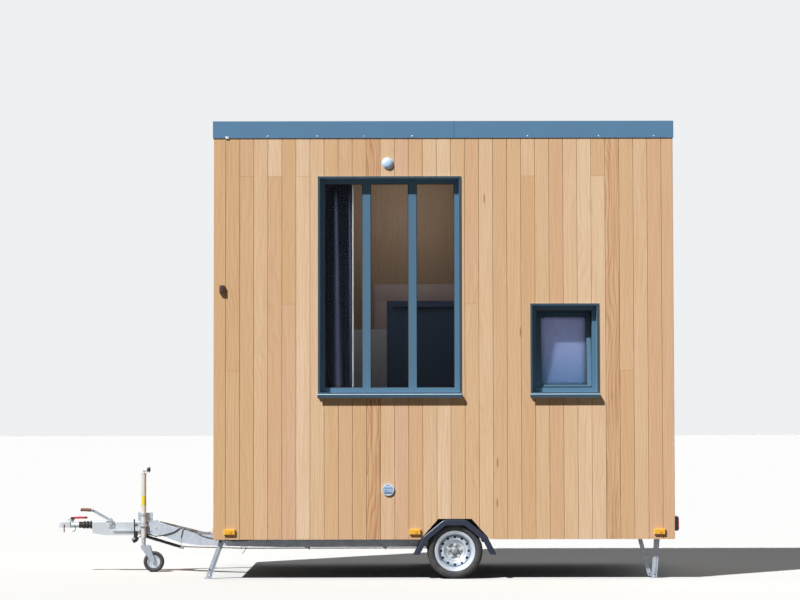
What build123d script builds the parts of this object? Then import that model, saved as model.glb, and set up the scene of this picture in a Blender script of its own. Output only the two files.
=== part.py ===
# A tiny timber house on a single-axle road trailer, parked on its jockey wheel and four legs.
# Millimetres. +Z is up from the ground, the drawbar points to -X, and -Y is the side with
# the large window. The origin is on the ground, midway along the whole length.
import os
from math import atan2, cos, degrees, hypot, radians, sin, tan

from build123d import *

# Overall sizes
body_length = 4255.0
body_width = 2500.0
skirt_height = 365.0
window_bottom = 1670.0
large_height = 2051.0
wall_over_window = 356.0
cladding_top = window_bottom + large_height + wall_over_window
fascia_height = 157.0
coupling_reach = 1589.0
rear_lamp_depth = 35.0
overall_length = coupling_reach + body_length + rear_lamp_depth
nose = -overall_length / 2
front = nose + coupling_reach
rear = front + body_length
side = body_width / 2
roof_top = cladding_top + fascia_height

# Walls, floor and roof
cladding = 20.0
wall = 130.0
deck_height = 100.0
deck_bottom = skirt_height
floor_bottom = deck_bottom + deck_height
floor_thickness = 130.0
floor_top = floor_bottom + floor_thickness
ceiling_height = cladding_top - 72.0
roof_thickness = 210.0
roof_slab_top = ceiling_height + roof_thickness
roof_skin = 5.0
fascia_proud = 8.0
frame_side = side - cladding
inner_side = frame_side - wall
frame_front = front + cladding
frame_rear = rear - cladding
inner_front = frame_front + wall
inner_rear = frame_rear - wall

# Windows, measured from the front face
large_setback = 965.0
large_width = 1326.0
small_setback = 2929.0
small_width = 635.0
small_height = 869.0
trim = 16.0
trim_proud = 8.0
reveal_depth = 87.0
frame_member = 44.0
frame_depth = 60.0
mullion = 74.0
sash_member = 40.0
sash_depth = 46.0
sash_set_back = 12.0
sash_gap = 3.0
sash_tilt = 11.0
stay_radius = 4.0
blind_thickness = 4.0
blind_overlap = 12.0
glass_thickness = 24.0
sill_height = 49.0
sill_proud = 26.0
sill_fall = 22.0
light_count = 3

# Entrance door in the far wall
door_setback = 1590.0
door_opening = 900.0
door_head = 2670.0
door_jamb = 45.0
door_gap = 5.0
door_leaf_thickness = 58.0
door_leaf_inset = 10.0
door_stop = 14.0
door_hinge_proud = 12.0
door_hinge_radius = 9.0
door_handle_height = 1050.0
threshold = 20.0

# Curtains
curtain_thickness = 44.0
curtain_gap = 18.0
curtain_width = 392.0
curtain_overlap = 62.0
curtain_drop = 60.0
curtain_rail_rise = 72.0
curtain_rail_radius = 9.0

# Deck
rail_width = 60.0
axle_setback = 2228.0
rail_inset = 290.0
rail_centre = side - rail_inset
edge_rail = 20.0
cross_member = 50.0
member_front = 620.0
member_rear = 800.0
member_from_axle = 480.0
member_setbacks = (
    member_front,
    axle_setback - member_from_axle,
    axle_setback + member_from_axle,
    body_length - member_rear,
)

# Axle and wheels
axle_x = front + axle_setback
tyre_radius = 256.0
tyre_width = 196.0
wheel_inset = 16.0
tyre_centre = side - wheel_inset - tyre_width / 2
rim_radius = 187.0
rim_bead_radius = 168.0
rim_hole_radius = 11.5
rim_hole_circle = 127.0
rim_hole_count = 12
hub_cap_radius = 33.0
bolt_circle = 56.0
bolt_count = 5
axle_beam = 80.0
axle_beam_height = skirt_height - 100.0 - axle_beam / 2
axle_set_forward = 150.0
arm_thickness = 32.0
brake_radius = 118.0
spindle_radius = 20.0
hub_clearance = 0.4
spindle_stop = 4.0

# Mudguards
guard_length = 763.0
guard_top = 549.0
guard_bottom = 224.0
guard_width = 228.0
guard_outer = side + 12.0
guard_sheet = 5.0
guard_lip = 55.0
guard_flat = 212.0
guard_shoulder = 600.0
guard_shoulder_height = 388.0
guard_round = 110.0
arch_flat = 306.0
arch_foot = 660.0
arch_top = guard_top + 5.0
pocket_length = guard_length + 24.0
pocket_top = guard_top

# Drawbar
beam_top = deck_bottom
beam_depth = 100.0
beam_web = 6.0
beam_flange = 48.0
beam_nose = nose + 882.0
beam_nose_top = 487.0
beam_nose_depth = 112.0
beam_nose_flat = 72.0
beam_nose_half = 48.0
beam_spread = 600.0
beam_bend = front + 600.0
beam_crank_end = front - 185.0

# Overrun housing, drawtube, coupling and brake gear
housing_front = nose + 327.0
housing_rear = nose + 982.0
housing_half = 40.0
housing_bottom = 351.0
housing_top = 487.0
tube_radius = 25.0
tube_height = 450.0
tube_clearance = 0.5
overrun_travel = 80.0
bore_length = 330.0
head_length = 191.0
head_radius = 36.0
head_above = 37.0
head_below = 26.0
head_body = 110.0
head_plate = 8.0
ball_radius = 25.3
ball_setback = 52.0
gaiter_front = nose + 196.0
gaiter_radius = 37.5
gaiter_root = 29.5
gaiter_ribs = 3
gaiter_cuff = 36.0
gaiter_seat = 0.3
handle_pivot = (nose + 125.0, 500.0)
handle_pin = 5.0
handle_length = 149.0
handle_rise = 21.0
handbrake_pivot = (nose + 508.0, 496.0)
handbrake_side = -62.0
handbrake_bar = 205.0
handbrake_grip = 112.0
handbrake_lift = 29.0
rod_radius = 5.0
rod_height = 221.0
sleeve_radius = 14.0
sleeve_front = (nose + 858.0, 334.0)
sleeve_rear = (nose + 1173.0, 238.0)
hanger_setbacks = (842.0, 1580.0)

# Jockey wheel
jockey_x = nose + 833.0
jockey_y = -112.0
jockey_tube = 24.0
jockey_wall = 3.0
clamp_reach = 86.0
jockey_top = 945.0
jockey_bottom = 330.0
jockey_stem = jockey_tube - jockey_wall - 0.5
jockey_crown = 263.0
jockey_trail = 100.0
jockey_radius = 100.0
jockey_width = 50.0
jockey_rim = 62.0
crank_radius = 88.0
crank_angle = 52.0

# Legs
leg_pivot_height = 405.0
leg_y = side - 130.0
leg_width = 50.0
leg_depth = 34.0
leg_sheet = 4.0
leg_pin = 8.0
pin_clearance = 0.08
foot_length = 72.0
foot_width = 60.0
foot_sheet = 6.0
front_leg_setback = 92.0
front_leg_lean = 20.0
rear_leg_setback = 152.0
rear_leg_lean = 4.5
brace_setback = 318.0
brace_lean = -14.9
brace_y = leg_y - 64.0
brace_width = 38.0
brace_thickness = 12.0
brace_eye_height = 34.0
front_leg_fold = 108.0
rear_leg_fold = 85.0
brace_fold = 104.0

# Small fittings on the walls
marker_setbacks = (152.0, axle_setback - 367.0, body_length - 141.0)
marker_height = 434.0
marker_size = (102.0, 52.0)
marker_depth = 22.0
front_marker = (20.0, 60.0, 65.0)
front_marker_height = 447.0
front_marker_y = side - 55.0
rear_lamp_height = 505.0
rear_lamp_size = (250.0, 130.0)
rear_lamp_y = side - 145.0
vent_setback = 1613.0
upper_vent_height = window_bottom + large_height + 120.0
lower_vent_height = 822.0
vent_radius = 54.0
vent_depth = 14.0
knob_setback = 78.0
knob_height = 2674.0
knob_size = (44.0, 74.0)
knob_depth = 40.0

# The held lead
lead_radius = 5.0


def slab(x, y, z):
    """A box between pairs of limits."""
    size = Box(x[1] - x[0], y[1] - y[0], z[1] - z[0])
    return Pos((x[0] + x[1]) / 2, (y[0] + y[1]) / 2, (z[0] + z[1]) / 2) * size


def span(centre, size):
    """The limits of a size about its centre."""
    return centre - size / 2, centre + size / 2


def upright(radius, height):
    """A round bar that stands on its lower end."""
    return Cylinder(radius, height, align=(Align.CENTER, Align.CENTER, Align.MIN))


def rod(start, end, radius):
    """A round bar from one point to another."""
    run = Vector(*end) - Vector(*start)
    plane = Plane(origin=start, z_dir=run)
    return plane * upright(radius, run.length)


def side_plate(points, y0, y1):
    """A plate whose outline is given in X and Z, between two places across the trailer."""
    face = make_face(Polyline(*[(x, y0, z) for x, z in points], close=True))
    return extrude(face, amount=y1 - y0, dir=(0, 1, 0))


def across(points, x):
    """A plate whose outline is given in Y and Z, between two places along the trailer."""
    face = make_face(Polyline(*[(x[0], y, z) for y, z in points], close=True))
    return extrude(face, amount=x[1] - x[0], dir=(1, 0, 0))


def turned(points):
    """A body of revolution about Z, from an outline of radius and height."""
    face = make_face(Polyline(*[(r, 0, z) for r, z in points], close=True))
    return revolve(face, Axis.Z)


def other_side(piece):
    return mirror(piece, about=Plane.XZ)


def both_sides(piece):
    return Compound(children=[*piece.solids(), *other_side(piece).solids()])


def group(*pieces):
    """Several solids that lie apart, kept in one node."""
    return Compound(children=[s for piece in pieces for s in piece.solids()])


# Window openings as limits in X and Z, with the trim outside them
def opening_limits(setback, width, height):
    x0 = front + setback
    return (x0, x0 + width), (window_bottom, window_bottom + height)


large_x, large_z = opening_limits(large_setback, large_width, large_height)
small_x, small_z = opening_limits(small_setback, small_width, small_height)
door_x = (front + door_setback, front + door_setback + door_opening)
door_z = (floor_top, door_head)
outside = side + 100.0


def shrink(limits, by):
    return (limits[0] + by, limits[1] - by)


large_hole = slab(shrink(large_x, trim), (-outside, -inner_side + 10), shrink(large_z, trim))
small_hole = slab(shrink(small_x, trim), (-outside, -inner_side + 10), shrink(small_z, trim))
door_hole = slab(door_x, (inner_side - 10, outside), (floor_top - 100, door_z[1]))


def floor():
    slab_piece = slab((frame_front, frame_rear), (-frame_side, frame_side), (floor_bottom, floor_top))
    pocket = slab(
        (axle_x - pocket_length / 2, axle_x + pocket_length / 2),
        (guard_outer - guard_width - 8, outside),
        (floor_bottom - 1, pocket_top),
    )
    return slab_piece - pocket - other_side(pocket)


def wall_side_blank():
    return slab((frame_front, frame_rear), (-frame_side, -inner_side), (floor_top, ceiling_height))


def wall_left():
    return wall_side_blank() - large_hole - small_hole


def wall_right():
    return other_side(wall_side_blank() - small_hole) - door_hole


def wall_front():
    return slab((frame_front, inner_front), (-inner_side, inner_side), (floor_top, ceiling_height))


def wall_rear():
    return slab((inner_rear, frame_rear), (-inner_side, inner_side), (floor_top, ceiling_height))


def arch_cut():
    """The wheel arch in the cladding: wider at the top corners than the mudguard."""
    points = [
        (axle_x - arch_foot / 2, skirt_height - 10),
        (axle_x - arch_flat / 2, arch_top),
        (axle_x + arch_flat / 2, arch_top),
        (axle_x + arch_foot / 2, skirt_height - 10),
    ]
    return side_plate(points, -outside, -frame_side + 1)


def cladding_side_blank():
    return slab((front, rear), (-side, -frame_side), (skirt_height, cladding_top)) - arch_cut()


def cladding_left():
    return cladding_side_blank() - large_hole - small_hole


def cladding_right():
    return other_side(cladding_side_blank() - small_hole) - door_hole


def cladding_ends():
    y, z = (-frame_side, frame_side), (skirt_height, cladding_top)
    return group(slab((front, frame_front), y, z), slab((frame_rear, rear), y, z))


def roof():
    return slab((frame_front, frame_rear), (-frame_side, frame_side), (ceiling_height, roof_slab_top))


def fascia_ring(outer, inner, z):
    ring = slab((front - outer, rear + outer), (-side - outer, side + outer), z)
    return ring - slab((front + inner, rear - inner), (-side + inner, side - inner), (z[0] - 1, z[1] + 1))


def fascia():
    """Folded metal band: an upright face, and a cap that turns in over the roof edge."""
    face = fascia_ring(fascia_proud, 0, (cladding_top, roof_top))
    cap = fascia_ring(fascia_proud, 60, (roof_top - 3, roof_top))
    upstand = fascia_ring(0, cladding, (cladding_top, roof_top - 3))
    return face + upstand + cap


def roof_cover():
    z = (roof_slab_top, roof_slab_top + roof_skin)
    return slab((frame_front, frame_rear), (-frame_side, frame_side), z)


def window_surround(x, z):
    """Metal lining of a window hole, with a narrow trim outside and a sloping sill."""
    trim_face = -side - trim_proud
    back = -side + reveal_depth
    lining = slab(shrink(x, trim), (-side, back), shrink(z, trim))
    band = slab(x, (trim_face, -side), z)
    inside = slab(shrink(x, trim + 3), (trim_face - 1, back + 1), (z[0] + sill_height, z[1] - trim - 3))
    nose_y = -side - sill_proud
    top = z[0] + sill_height
    nosing = [(nose_y, z[0]), (nose_y, top - sill_fall), (-side, top - sill_fall / 2), (-side, z[0])]
    board = [(-side, z[0] + trim), (-side, top - sill_fall / 2), (back, top), (back, z[0] + trim)]
    sill = across(nosing, x) + across(board, shrink(x, trim))
    return lining + band - inside + sill


def clear_limits(x, z):
    """The limits inside a surround, in which its frame sits."""
    return shrink(x, trim), (z[0] + trim, z[1] - trim)


def large_window_surround():
    return window_surround(large_x, large_z)


def small_window_surrounds():
    return both_sides(window_surround(small_x, small_z))


frame_face = -side + reveal_depth


def large_lights():
    """The openings between the mullions, as limits in X."""
    x, z = clear_limits(large_x, large_z)
    inner = shrink(x, frame_member)
    width = (inner[1] - inner[0] - (light_count - 1) * mullion) / light_count
    starts = [inner[0] + i * (width + mullion) for i in range(light_count)]
    return [(start, start + width) for start in starts]


def light_height(z):
    return (z[0] + sill_height + frame_member, z[1] - trim - frame_member)


def large_window_frame():
    x, z = clear_limits(large_x, large_z)
    piece = slab(x, (frame_face, frame_face + frame_depth), z)
    for light in large_lights():
        piece -= slab(light, (frame_face - 1, frame_face + frame_depth + 1), light_height(large_z))
    return piece


def small_window_frame():
    x, z = clear_limits(small_x, small_z)
    back = frame_face + frame_depth
    piece = slab(x, (frame_face, back), z)
    return piece - slab(shrink(x, frame_member), (frame_face - 1, back + 1), light_height(small_z))


def small_frame_x():
    return shrink(clear_limits(small_x, small_z)[0], frame_member)


def small_sash(gap):
    """The opening frame of a small window, shut, with a gap on each side of it."""
    x = shrink(small_frame_x(), gap)
    z = light_height(small_z)
    y0 = frame_face + sash_set_back
    piece = slab(x, (y0, y0 + sash_depth), z)
    return piece - slab(shrink(x, sash_member), (y0 - 1, y0 + sash_depth + 1), sash_light(z))


def sash_light(z):
    return (z[0] + sash_member * 0.4, z[1] - sash_member)


def tilted(piece):
    """Turns the small sash and what it carries about its lower inner edge, top into the room."""
    y = frame_face + sash_set_back + sash_depth
    z = light_height(small_z)[0] - 1
    return Pos(0, y, z) * Rot(-sash_tilt, 0, 0) * Pos(0, -y, -z) * piece


def sash_stay():
    """The arm that holds the tilted sash, from the frame's head to the top of the sash."""
    x = small_frame_x()[1] - sash_member
    z = light_height(small_z)[1]
    on_sash = (x, frame_face + sash_set_back + sash_depth / 2, z - sash_member / 2)
    end = tilted(Pos(*on_sash) * Sphere(stay_radius)).center()
    start = (x, frame_face + frame_depth - stay_radius, z + frame_member / 2)
    return rod(start, (end.X, end.Y, end.Z), stay_radius)


def window_frames():
    """The frames; the photographed small sash stands tilted open and the unseen one is shut."""
    tilted_open = small_window_frame() + tilted(small_sash(sash_gap)) + sash_stay()
    return group(large_window_frame(), tilted_open, other_side(small_window_frame() + small_sash(0)))


def small_pane(gap):
    y0 = frame_face + frame_depth / 2 - glass_thickness / 2 + 4
    x = shrink(small_frame_x(), sash_member + gap)
    return slab(x, (y0, y0 + glass_thickness), sash_light(light_height(small_z)))


def window_glass():
    y0 = frame_face + (frame_depth - glass_thickness) / 2
    panes = [slab(light, (y0, y0 + glass_thickness), light_height(large_z)) for light in large_lights()]
    return group(*panes, tilted(small_pane(sash_gap)), other_side(small_pane(0)))


def blind():
    """A thin blind fixed on the inner face of the tilted sash."""
    x = shrink(small_frame_x(), sash_gap + sash_member - blind_overlap)
    z = sash_light(light_height(small_z))
    y0 = frame_face + sash_set_back + sash_depth
    return tilted(slab(x, (y0, y0 + blind_thickness), (z[0] - blind_overlap, z[1] + blind_overlap)))


def curtains():
    """The drawn-back curtain behind the left light, and the blind on the small window's sash."""
    y1 = -inner_side + curtain_gap
    x0 = large_x[0] - curtain_overlap
    hung = curtain_rail_rise - curtain_rail_radius
    z = (large_z[0] - curtain_drop, large_z[1] + hung)
    return group(slab((x0, x0 + curtain_width), (y1, y1 + curtain_thickness), z), blind())


def curtain_rails():
    """A round rod on two brackets on the lining, that the curtain hangs from."""
    y = -inner_side + curtain_gap + curtain_thickness / 2
    x0, x1 = large_x[0] - curtain_overlap - 40, large_x[1] + curtain_overlap
    z = large_z[1] + curtain_rail_rise
    bar = rod((x0, y, z), (x1, y, z), curtain_rail_radius)
    for x in (x0 + 15, x1 - 15):
        bar += slab((x - 8, x + 8), (-inner_side, y), (z - 8, z + 8))
    return bar


def door_frame():
    x, z = door_x, (floor_top, door_head)
    back = inner_side - 6
    piece = slab(x, (back, side), z)
    clear_x = shrink(x, door_jamb)
    leaf_back = side - door_leaf_inset - door_leaf_thickness
    rebate = slab(clear_x, (leaf_back - door_gap, side + 1), (z[0] + threshold, z[1] - door_jamb))
    way_z = (z[0] + threshold, z[1] - door_jamb - door_stop)
    way = slab(shrink(clear_x, door_stop), (back - 1, side + 1), way_z)
    return piece - rebate - way


hinge_x = door_x[1] - door_jamb - door_gap / 2
hinge_y = side + door_hinge_proud
leaf_z = (floor_top + threshold + door_gap, door_head - door_jamb - door_gap)
hinge_heights = (leaf_z[0] + 230, leaf_z[1] - 230)


def door_leaf():
    x = shrink(door_x, door_jamb + door_gap)
    y1 = side - door_leaf_inset
    piece = slab(x, (y1 - door_leaf_thickness, y1), leaf_z)
    for height in (leaf_z[0] + 130, (leaf_z[0] + leaf_z[1]) / 2 + 60):
        panel_height = (leaf_z[1] - leaf_z[0]) / 2 - 190
        for face in ((y1 - 8, y1 + 1), (y1 - door_leaf_thickness - 1, y1 - door_leaf_thickness + 8)):
            piece -= slab(shrink(x, 120), face, (height, height + panel_height))
    for z in hinge_heights:
        strap = slab((x[1] - 60, hinge_x), (y1, y1 + 5), (z + 2, z + 48))
        knuckle = rod((hinge_x, hinge_y, z + 2), (hinge_x, hinge_y, z + 48), door_hinge_radius)
        tab = slab((hinge_x - 5, hinge_x), (y1, hinge_y), (z + 2, z + 48))
        piece += strap + tab + knuckle
        piece -= rod((hinge_x, hinge_y, z - 5), (hinge_x, hinge_y, z + 60), 4 + pin_clearance)
    return piece


def door_hinges():
    """Fixed halves: a pin through each knuckle, carried on a plate on the jamb."""
    pieces = []
    for z in hinge_heights:
        pin = rod((hinge_x, hinge_y, z - 24), (hinge_x, hinge_y, z + 70), 4)
        lower = rod((hinge_x, hinge_y, z - 24), (hinge_x, hinge_y, z), door_hinge_radius)
        upper = rod((hinge_x, hinge_y, z + 50), (hinge_x, hinge_y, z + 70), door_hinge_radius)
        plate = slab((hinge_x + 8, hinge_x + 34), (side, side + 5), (z - 24, z + 70))
        arms = slab((hinge_x, hinge_x + 12), (side, hinge_y), (z - 24, z))
        arms += slab((hinge_x, hinge_x + 12), (side, hinge_y), (z + 50, z + 70))
        pieces.append(pin + lower + upper + plate + arms)
    return group(*pieces)


def door_handle():
    """Levers on both faces, joined by the spindle through the leaf."""
    x = door_x[0] + door_jamb + door_gap + 55
    z = floor_top + door_handle_height
    y1 = side - door_leaf_inset
    pieces = []
    for face, out in ((y1, 1), (y1 - door_leaf_thickness, -1)):
        plate = Pos(x, face + out * 4, z - 20) * Box(34, 8, 190)
        stem = rod((x, face, z), (x, face + out * 40, z), 9)
        lever = slab((x - 9, x + 125), sorted((face + out * 37, face + out * 52)), (z - 10, z + 10))
        pieces.append(plate + stem + lever)
    return group(*pieces)


def deck_rails():
    rail = slab(
        (frame_front + edge_rail, frame_rear - edge_rail),
        (-rail_centre - rail_width / 2, -rail_centre + rail_width / 2),
        (deck_bottom, floor_bottom),
    )
    return both_sides(rail)


def deck_cross_members():
    inner = rail_centre - rail_width / 2
    outer = rail_centre + rail_width / 2
    pieces = []
    for setback in member_setbacks:
        x = (front + setback, front + setback + cross_member)
        pieces.append(slab(x, (-inner, inner), (deck_bottom, floor_bottom)))
        out = slab(x, (-frame_side + edge_rail, -outer), (deck_bottom, floor_bottom))
        pieces += [out, other_side(out)]
    return group(*pieces)


def edge_rails():
    """Boards on edge all round the deck, left open at the wheel arches."""
    z = (deck_bottom, floor_bottom)
    y = (-frame_side, -frame_side + edge_rail)
    arch = axle_x - pocket_length / 2, axle_x + pocket_length / 2
    sides = [slab((frame_front, arch[0]), y, z), slab((arch[1], frame_rear), y, z)]
    span = (-frame_side + edge_rail, frame_side - edge_rail)
    ends = [
        slab((frame_front, frame_front + edge_rail), span, z),
        slab((frame_rear - edge_rail, frame_rear), span, z),
    ]
    return group(*sides, *[other_side(s) for s in sides], *ends)


def drawbar_beam():
    """A welded box beam: cranked down and spread out from the nose, then straight to the axle."""
    spread = atan2(beam_spread - beam_nose_half, beam_bend - beam_nose)
    mitre = beam_flange * tan(spread / 2)
    stretch = 1 / cos(spread)
    run = (beam_bend - beam_nose) * stretch + mitre
    crank = (beam_crank_end - beam_nose) * stretch
    flat = beam_nose_flat * stretch
    low = beam_top - beam_depth
    top = [(0, beam_nose_top), (flat, beam_nose_top), (crank, beam_top), (run, beam_top)]
    bottom = [(run, low), (crank, low), (crank * 0.62, low + 26)]
    bottom += [(flat * 2.4, beam_nose_top - beam_nose_depth - 30), (0, beam_nose_top - beam_nose_depth)]
    outline = make_face(Polyline(*top, *bottom, close=True))
    web = extrude(Plane.XZ * outline, amount=beam_flange)
    hollow = extrude(Plane.XZ * offset(outline, -beam_web), amount=beam_flange - 2 * beam_web)
    place = Pos(beam_nose, -beam_nose_half, 0) * Rot(0, 0, -degrees(spread))
    angled = place * (web - Pos(0, -beam_web, 0) * hollow)
    y1 = -beam_spread
    end = axle_x + 60
    straight = slab((beam_bend - mitre, end), (y1 - beam_flange, y1), (low, beam_top))
    straight -= slab(
        (beam_bend - mitre + beam_web, end - beam_web),
        (y1 - beam_flange + beam_web, y1 - beam_web),
        (low + beam_web, beam_top - beam_web),
    )
    return angled + straight


def axle():
    """Rubber torsion axle: a square tube, trailing arms and brake plates."""
    arm_y = rail_centre + rail_width / 2 + 8
    tube_x = axle_x - axle_set_forward
    z = axle_beam_height
    half = axle_beam / 2
    beam = slab((tube_x - half, tube_x + half), (-arm_y, arm_y), (z - half, z + half))
    hub_y = tyre_centre - spindle_stop
    pieces = beam
    for out in (-1, 1):
        y0, y1 = sorted((out * arm_y, out * (arm_y + arm_thickness)))
        arm = [(tube_x - 38, z - 34), (tube_x - 38, z + 34), (tube_x + 20, z + 38)]
        arm += [(axle_x + 30, tyre_radius + 26), (axle_x + 30, tyre_radius - 26), (tube_x + 20, z - 38)]
        pieces += side_plate(arm, y0, y1)
        inner_y = out * (arm_y + arm_thickness)
        plate = rod((axle_x, inner_y, tyre_radius), (axle_x, inner_y + out * 10, tyre_radius), brake_radius)
        spindle = rod((axle_x, inner_y, tyre_radius), (axle_x, out * hub_y, tyre_radius), spindle_radius)
        pieces += plate + spindle
    return pieces


def wheel_place(out):
    """The wheel's own frame: its axis along Y with the outer face outwards."""
    return Pos(axle_x, out * tyre_centre, tyre_radius) * Rot(-90 * out, 0, 0)


def tyre():
    half = tyre_width / 2
    groove = 5.0
    bead = rim_bead_radius
    points = [
        (bead, -half + 22), (rim_radius + 1, -half + 21), (rim_radius + 7, -half + 11),
        (tyre_radius - 34, -half), (tyre_radius - 9, -half + 9), (tyre_radius, -half + 24),
    ]
    for y in (-38, 0, 38):
        points += [
            (tyre_radius, y - groove), (tyre_radius - 7, y - groove + 1),
            (tyre_radius - 7, y + groove - 1), (tyre_radius, y + groove),
        ]
    points += [
        (tyre_radius, half - 24), (tyre_radius - 9, half - 9), (tyre_radius - 34, half),
        (rim_radius + 7, half - 11), (rim_radius + 1, half - 21), (bead, half - 22),
    ]
    return turned(points)


def rim():
    """Pressed steel wheel with the hub and drum behind it."""
    flange = rim_radius
    bead = rim_bead_radius - 0.3
    edge = tyre_width / 2 - 14
    seat = edge - 6
    barrel = turned([
        (flange, edge), (flange, seat), (bead, seat), (bead, seat - 28), (bead - 14, seat - 42),
        (bead - 14, -seat + 42), (bead, -seat + 28), (bead, -seat), (flange, -seat), (flange, -edge),
        (flange - 6, -edge), (bead - 6, -seat + 2), (bead - 6, -seat + 26), (bead - 20, -seat + 40),
        (bead - 20, seat - 40), (bead - 6, seat - 26), (bead - 6, seat - 2), (flange - 6, edge),
    ])
    disc = turned([
        (0, 18), (72, 18), (84, 24), (100, 40), (112, 47), (120, 46), (134, 38), (150, 16), (bead - 15, 2),
        (bead - 15, -5), (146, 9), (131, 32), (118, 41), (106, 40), (94, 30), (80, 18), (70, 12), (0, 12),
    ])
    cut = Pos(rim_hole_circle, 0, 20) * Cylinder(rim_hole_radius, 80)
    for i in range(rim_hole_count):
        disc -= Rot(0, 0, 360 / rim_hole_count * i) * cut
    cap = turned([(0, 18), (hub_cap_radius, 18), (hub_cap_radius, 34), (hub_cap_radius - 5, 42), (0, 46)])
    nut = Pos(bolt_circle, 0, 24) * extrude(RegularPolygon(10, 6), amount=6, both=True)
    nuts = [Rot(0, 0, 360 / bolt_count * i + 18) * nut for i in range(bolt_count)]
    hub = spindle_radius + hub_clearance
    drum = turned([
        (hub, 12), (100, 12), (110, 4), (110, -26), (102, -26), (102, -4), (60, -4), (34, -10),
        (34, -36), (hub, -36),
    ])
    return barrel + disc + cap + nuts + drum


def mudguard():
    """Black plastic guard with a flat top, sloping ends and side lips, open below."""
    half = guard_length / 2
    shoulder = guard_shoulder / 2
    flat = guard_flat / 2

    def outline(inset, foot):
        return [
            (axle_x - half + inset, foot),
            (axle_x - shoulder + inset * 0.75, guard_shoulder_height - inset * 0.6),
            (axle_x - flat + inset * 0.35, guard_top - inset),
            (axle_x + flat - inset * 0.35, guard_top - inset),
            (axle_x + shoulder - inset * 0.75, guard_shoulder_height - inset * 0.6),
            (axle_x + half - inset, foot),
        ]

    def blank(inset, foot, y0, y1):
        piece = side_plate(outline(inset, foot), y0, y1)
        bends = piece.edges().filter_by(Axis.Y).sort_by(Axis.Z)[-4:]
        return fillet(bends, guard_round - inset)

    y0, y1 = -guard_outer, -guard_outer + guard_width
    shell = blank(0, guard_bottom, y0, y1)
    shell -= blank(guard_sheet, guard_bottom - 1, y0 + guard_sheet, y1 - guard_sheet)
    return shell - blank(guard_lip, guard_bottom - 1, y0 - 1, y1 + 1)


def overrun_housing():
    """Cast housing with a tapered nose, bolt flanges and a bracket for the handbrake."""
    top, bottom, half = housing_top, housing_bottom, housing_half
    body = [
        (housing_front, bottom + 20), (housing_front, top - 4), (housing_front + 30, top),
        (housing_rear - 12, top), (housing_rear, top - 10),
        (housing_rear, bottom + 30), (housing_rear - 90, bottom), (housing_front + 130, bottom),
    ]
    piece = side_plate(body, -half, half)
    long_edges = piece.edges().filter_by(Axis.X).group_by(Axis.Z)[-1]
    piece = fillet(long_edges, 12)
    flange = span(tube_height - 54, 12)
    piece += slab((housing_front + 200, beam_nose - 22), (-half - 16, half + 16), flange)
    reach = (beam_nose, housing_rear)
    for out in (-1, 1):
        y0, y1 = sorted((out * half, out * beam_nose_half))
        piece += slab(reach, (y0, y1), (bottom + 40, top - 24))
    px, pz = handbrake_pivot
    ear = [(px - 26, tube_height - 20), (px - 16, pz + 14), (px + 16, pz + 14), (px + 34, tube_height - 20)]
    inner = handbrake_side + 9
    piece += side_plate(ear, inner, -half + 1)
    piece += rod((px, inner + 2, pz), (px, handbrake_side - 12, pz), 6)
    bore_end = (housing_front + bore_length, 0, tube_height)
    return piece - rod((housing_front - 1, 0, tube_height), bore_end, tube_radius + tube_clearance)


def drawtube():
    """Coupling head, welded to the tube that slides in the housing."""
    z = tube_height
    tube_end = housing_front + bore_length - overrun_travel - 10
    tube = rod((nose + 150, 0, z), (tube_end, 0, z), tube_radius)
    dome_x = nose + head_radius
    body = nose + head_body
    plan = Pos(dome_x, 0) * Circle(head_radius)
    plan += Pos((dome_x + body) / 2, 0) * Rectangle(body - dome_x, 2 * head_radius)
    head = Pos(0, 0, z - head_below) * extrude(plan, amount=head_above + head_below)
    head = fillet(head.faces().sort_by(Axis.Z)[-1].edges(), 10)
    brow = [
        (nose - 1, z - head_below - 1), (nose - 1, z + 4), (nose + 26, z + 24),
        (nose + 58, z + head_above + 1), (body + 1, z + head_above + 1), (body + 1, z - head_below - 1),
    ]
    head = head & side_plate(brow, -head_radius - 1, head_radius + 1)
    lie = (Align.CENTER, Align.CENTER, Align.MIN)
    neck_piece = Cone(head_below, tube_radius + 1.5, head_length - head_body + 1, align=lie)
    head += Pos(body - 1, 0, z) * Rot(0, 90, 0) * neck_piece + tube
    cup = Pos(nose + ball_setback, 0, z - 8) * Sphere(ball_radius)
    mouth = Pos(nose + ball_setback, 0, z - 8)
    mouth *= Cylinder(ball_radius, 40, align=(Align.CENTER, Align.CENTER, Align.MAX))
    head = head - cup - mouth
    hx, hz = handle_pivot
    lug = [
        (hx - 46, z + 30), (hx - 38, hz + 6), (hx - 26, hz + 14), (hx - 17, hz + 8), (hx + 10, hz + 8),
        (hx + 22, z + 30),
    ]
    head += side_plate(lug, -head_plate, head_plate)
    return head + rod((hx, -21, hz), (hx, 21, hz), handle_pin)


def coupling_handle():
    """Forked lever over the coupling head, with a level grip."""
    hx, hz = handle_pivot
    bore = rod((hx, -30, hz), (hx, 30, hz), handle_pin + pin_clearance)
    back, top = hx + 40, hz + handle_rise + 8
    cheek = [(hx - 8, hz - 7), (hx - 9, hz + 12), (hx + 26, top), (back, top), (back, hz + 13), (hx + 8, hz - 7)]
    fork = side_plate(cheek, -18, -10) + side_plate(cheek, 10, 18)
    bridge = slab((hx + 26, back), (-18, 18), (hz + 13, top))
    grip = slab((hx + 34, hx + handle_length), (-16, 16), span(hz + handle_rise, 18))
    return fork + bridge + fillet(grip.edges().filter_by(Axis.X), 7) - bore


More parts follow.
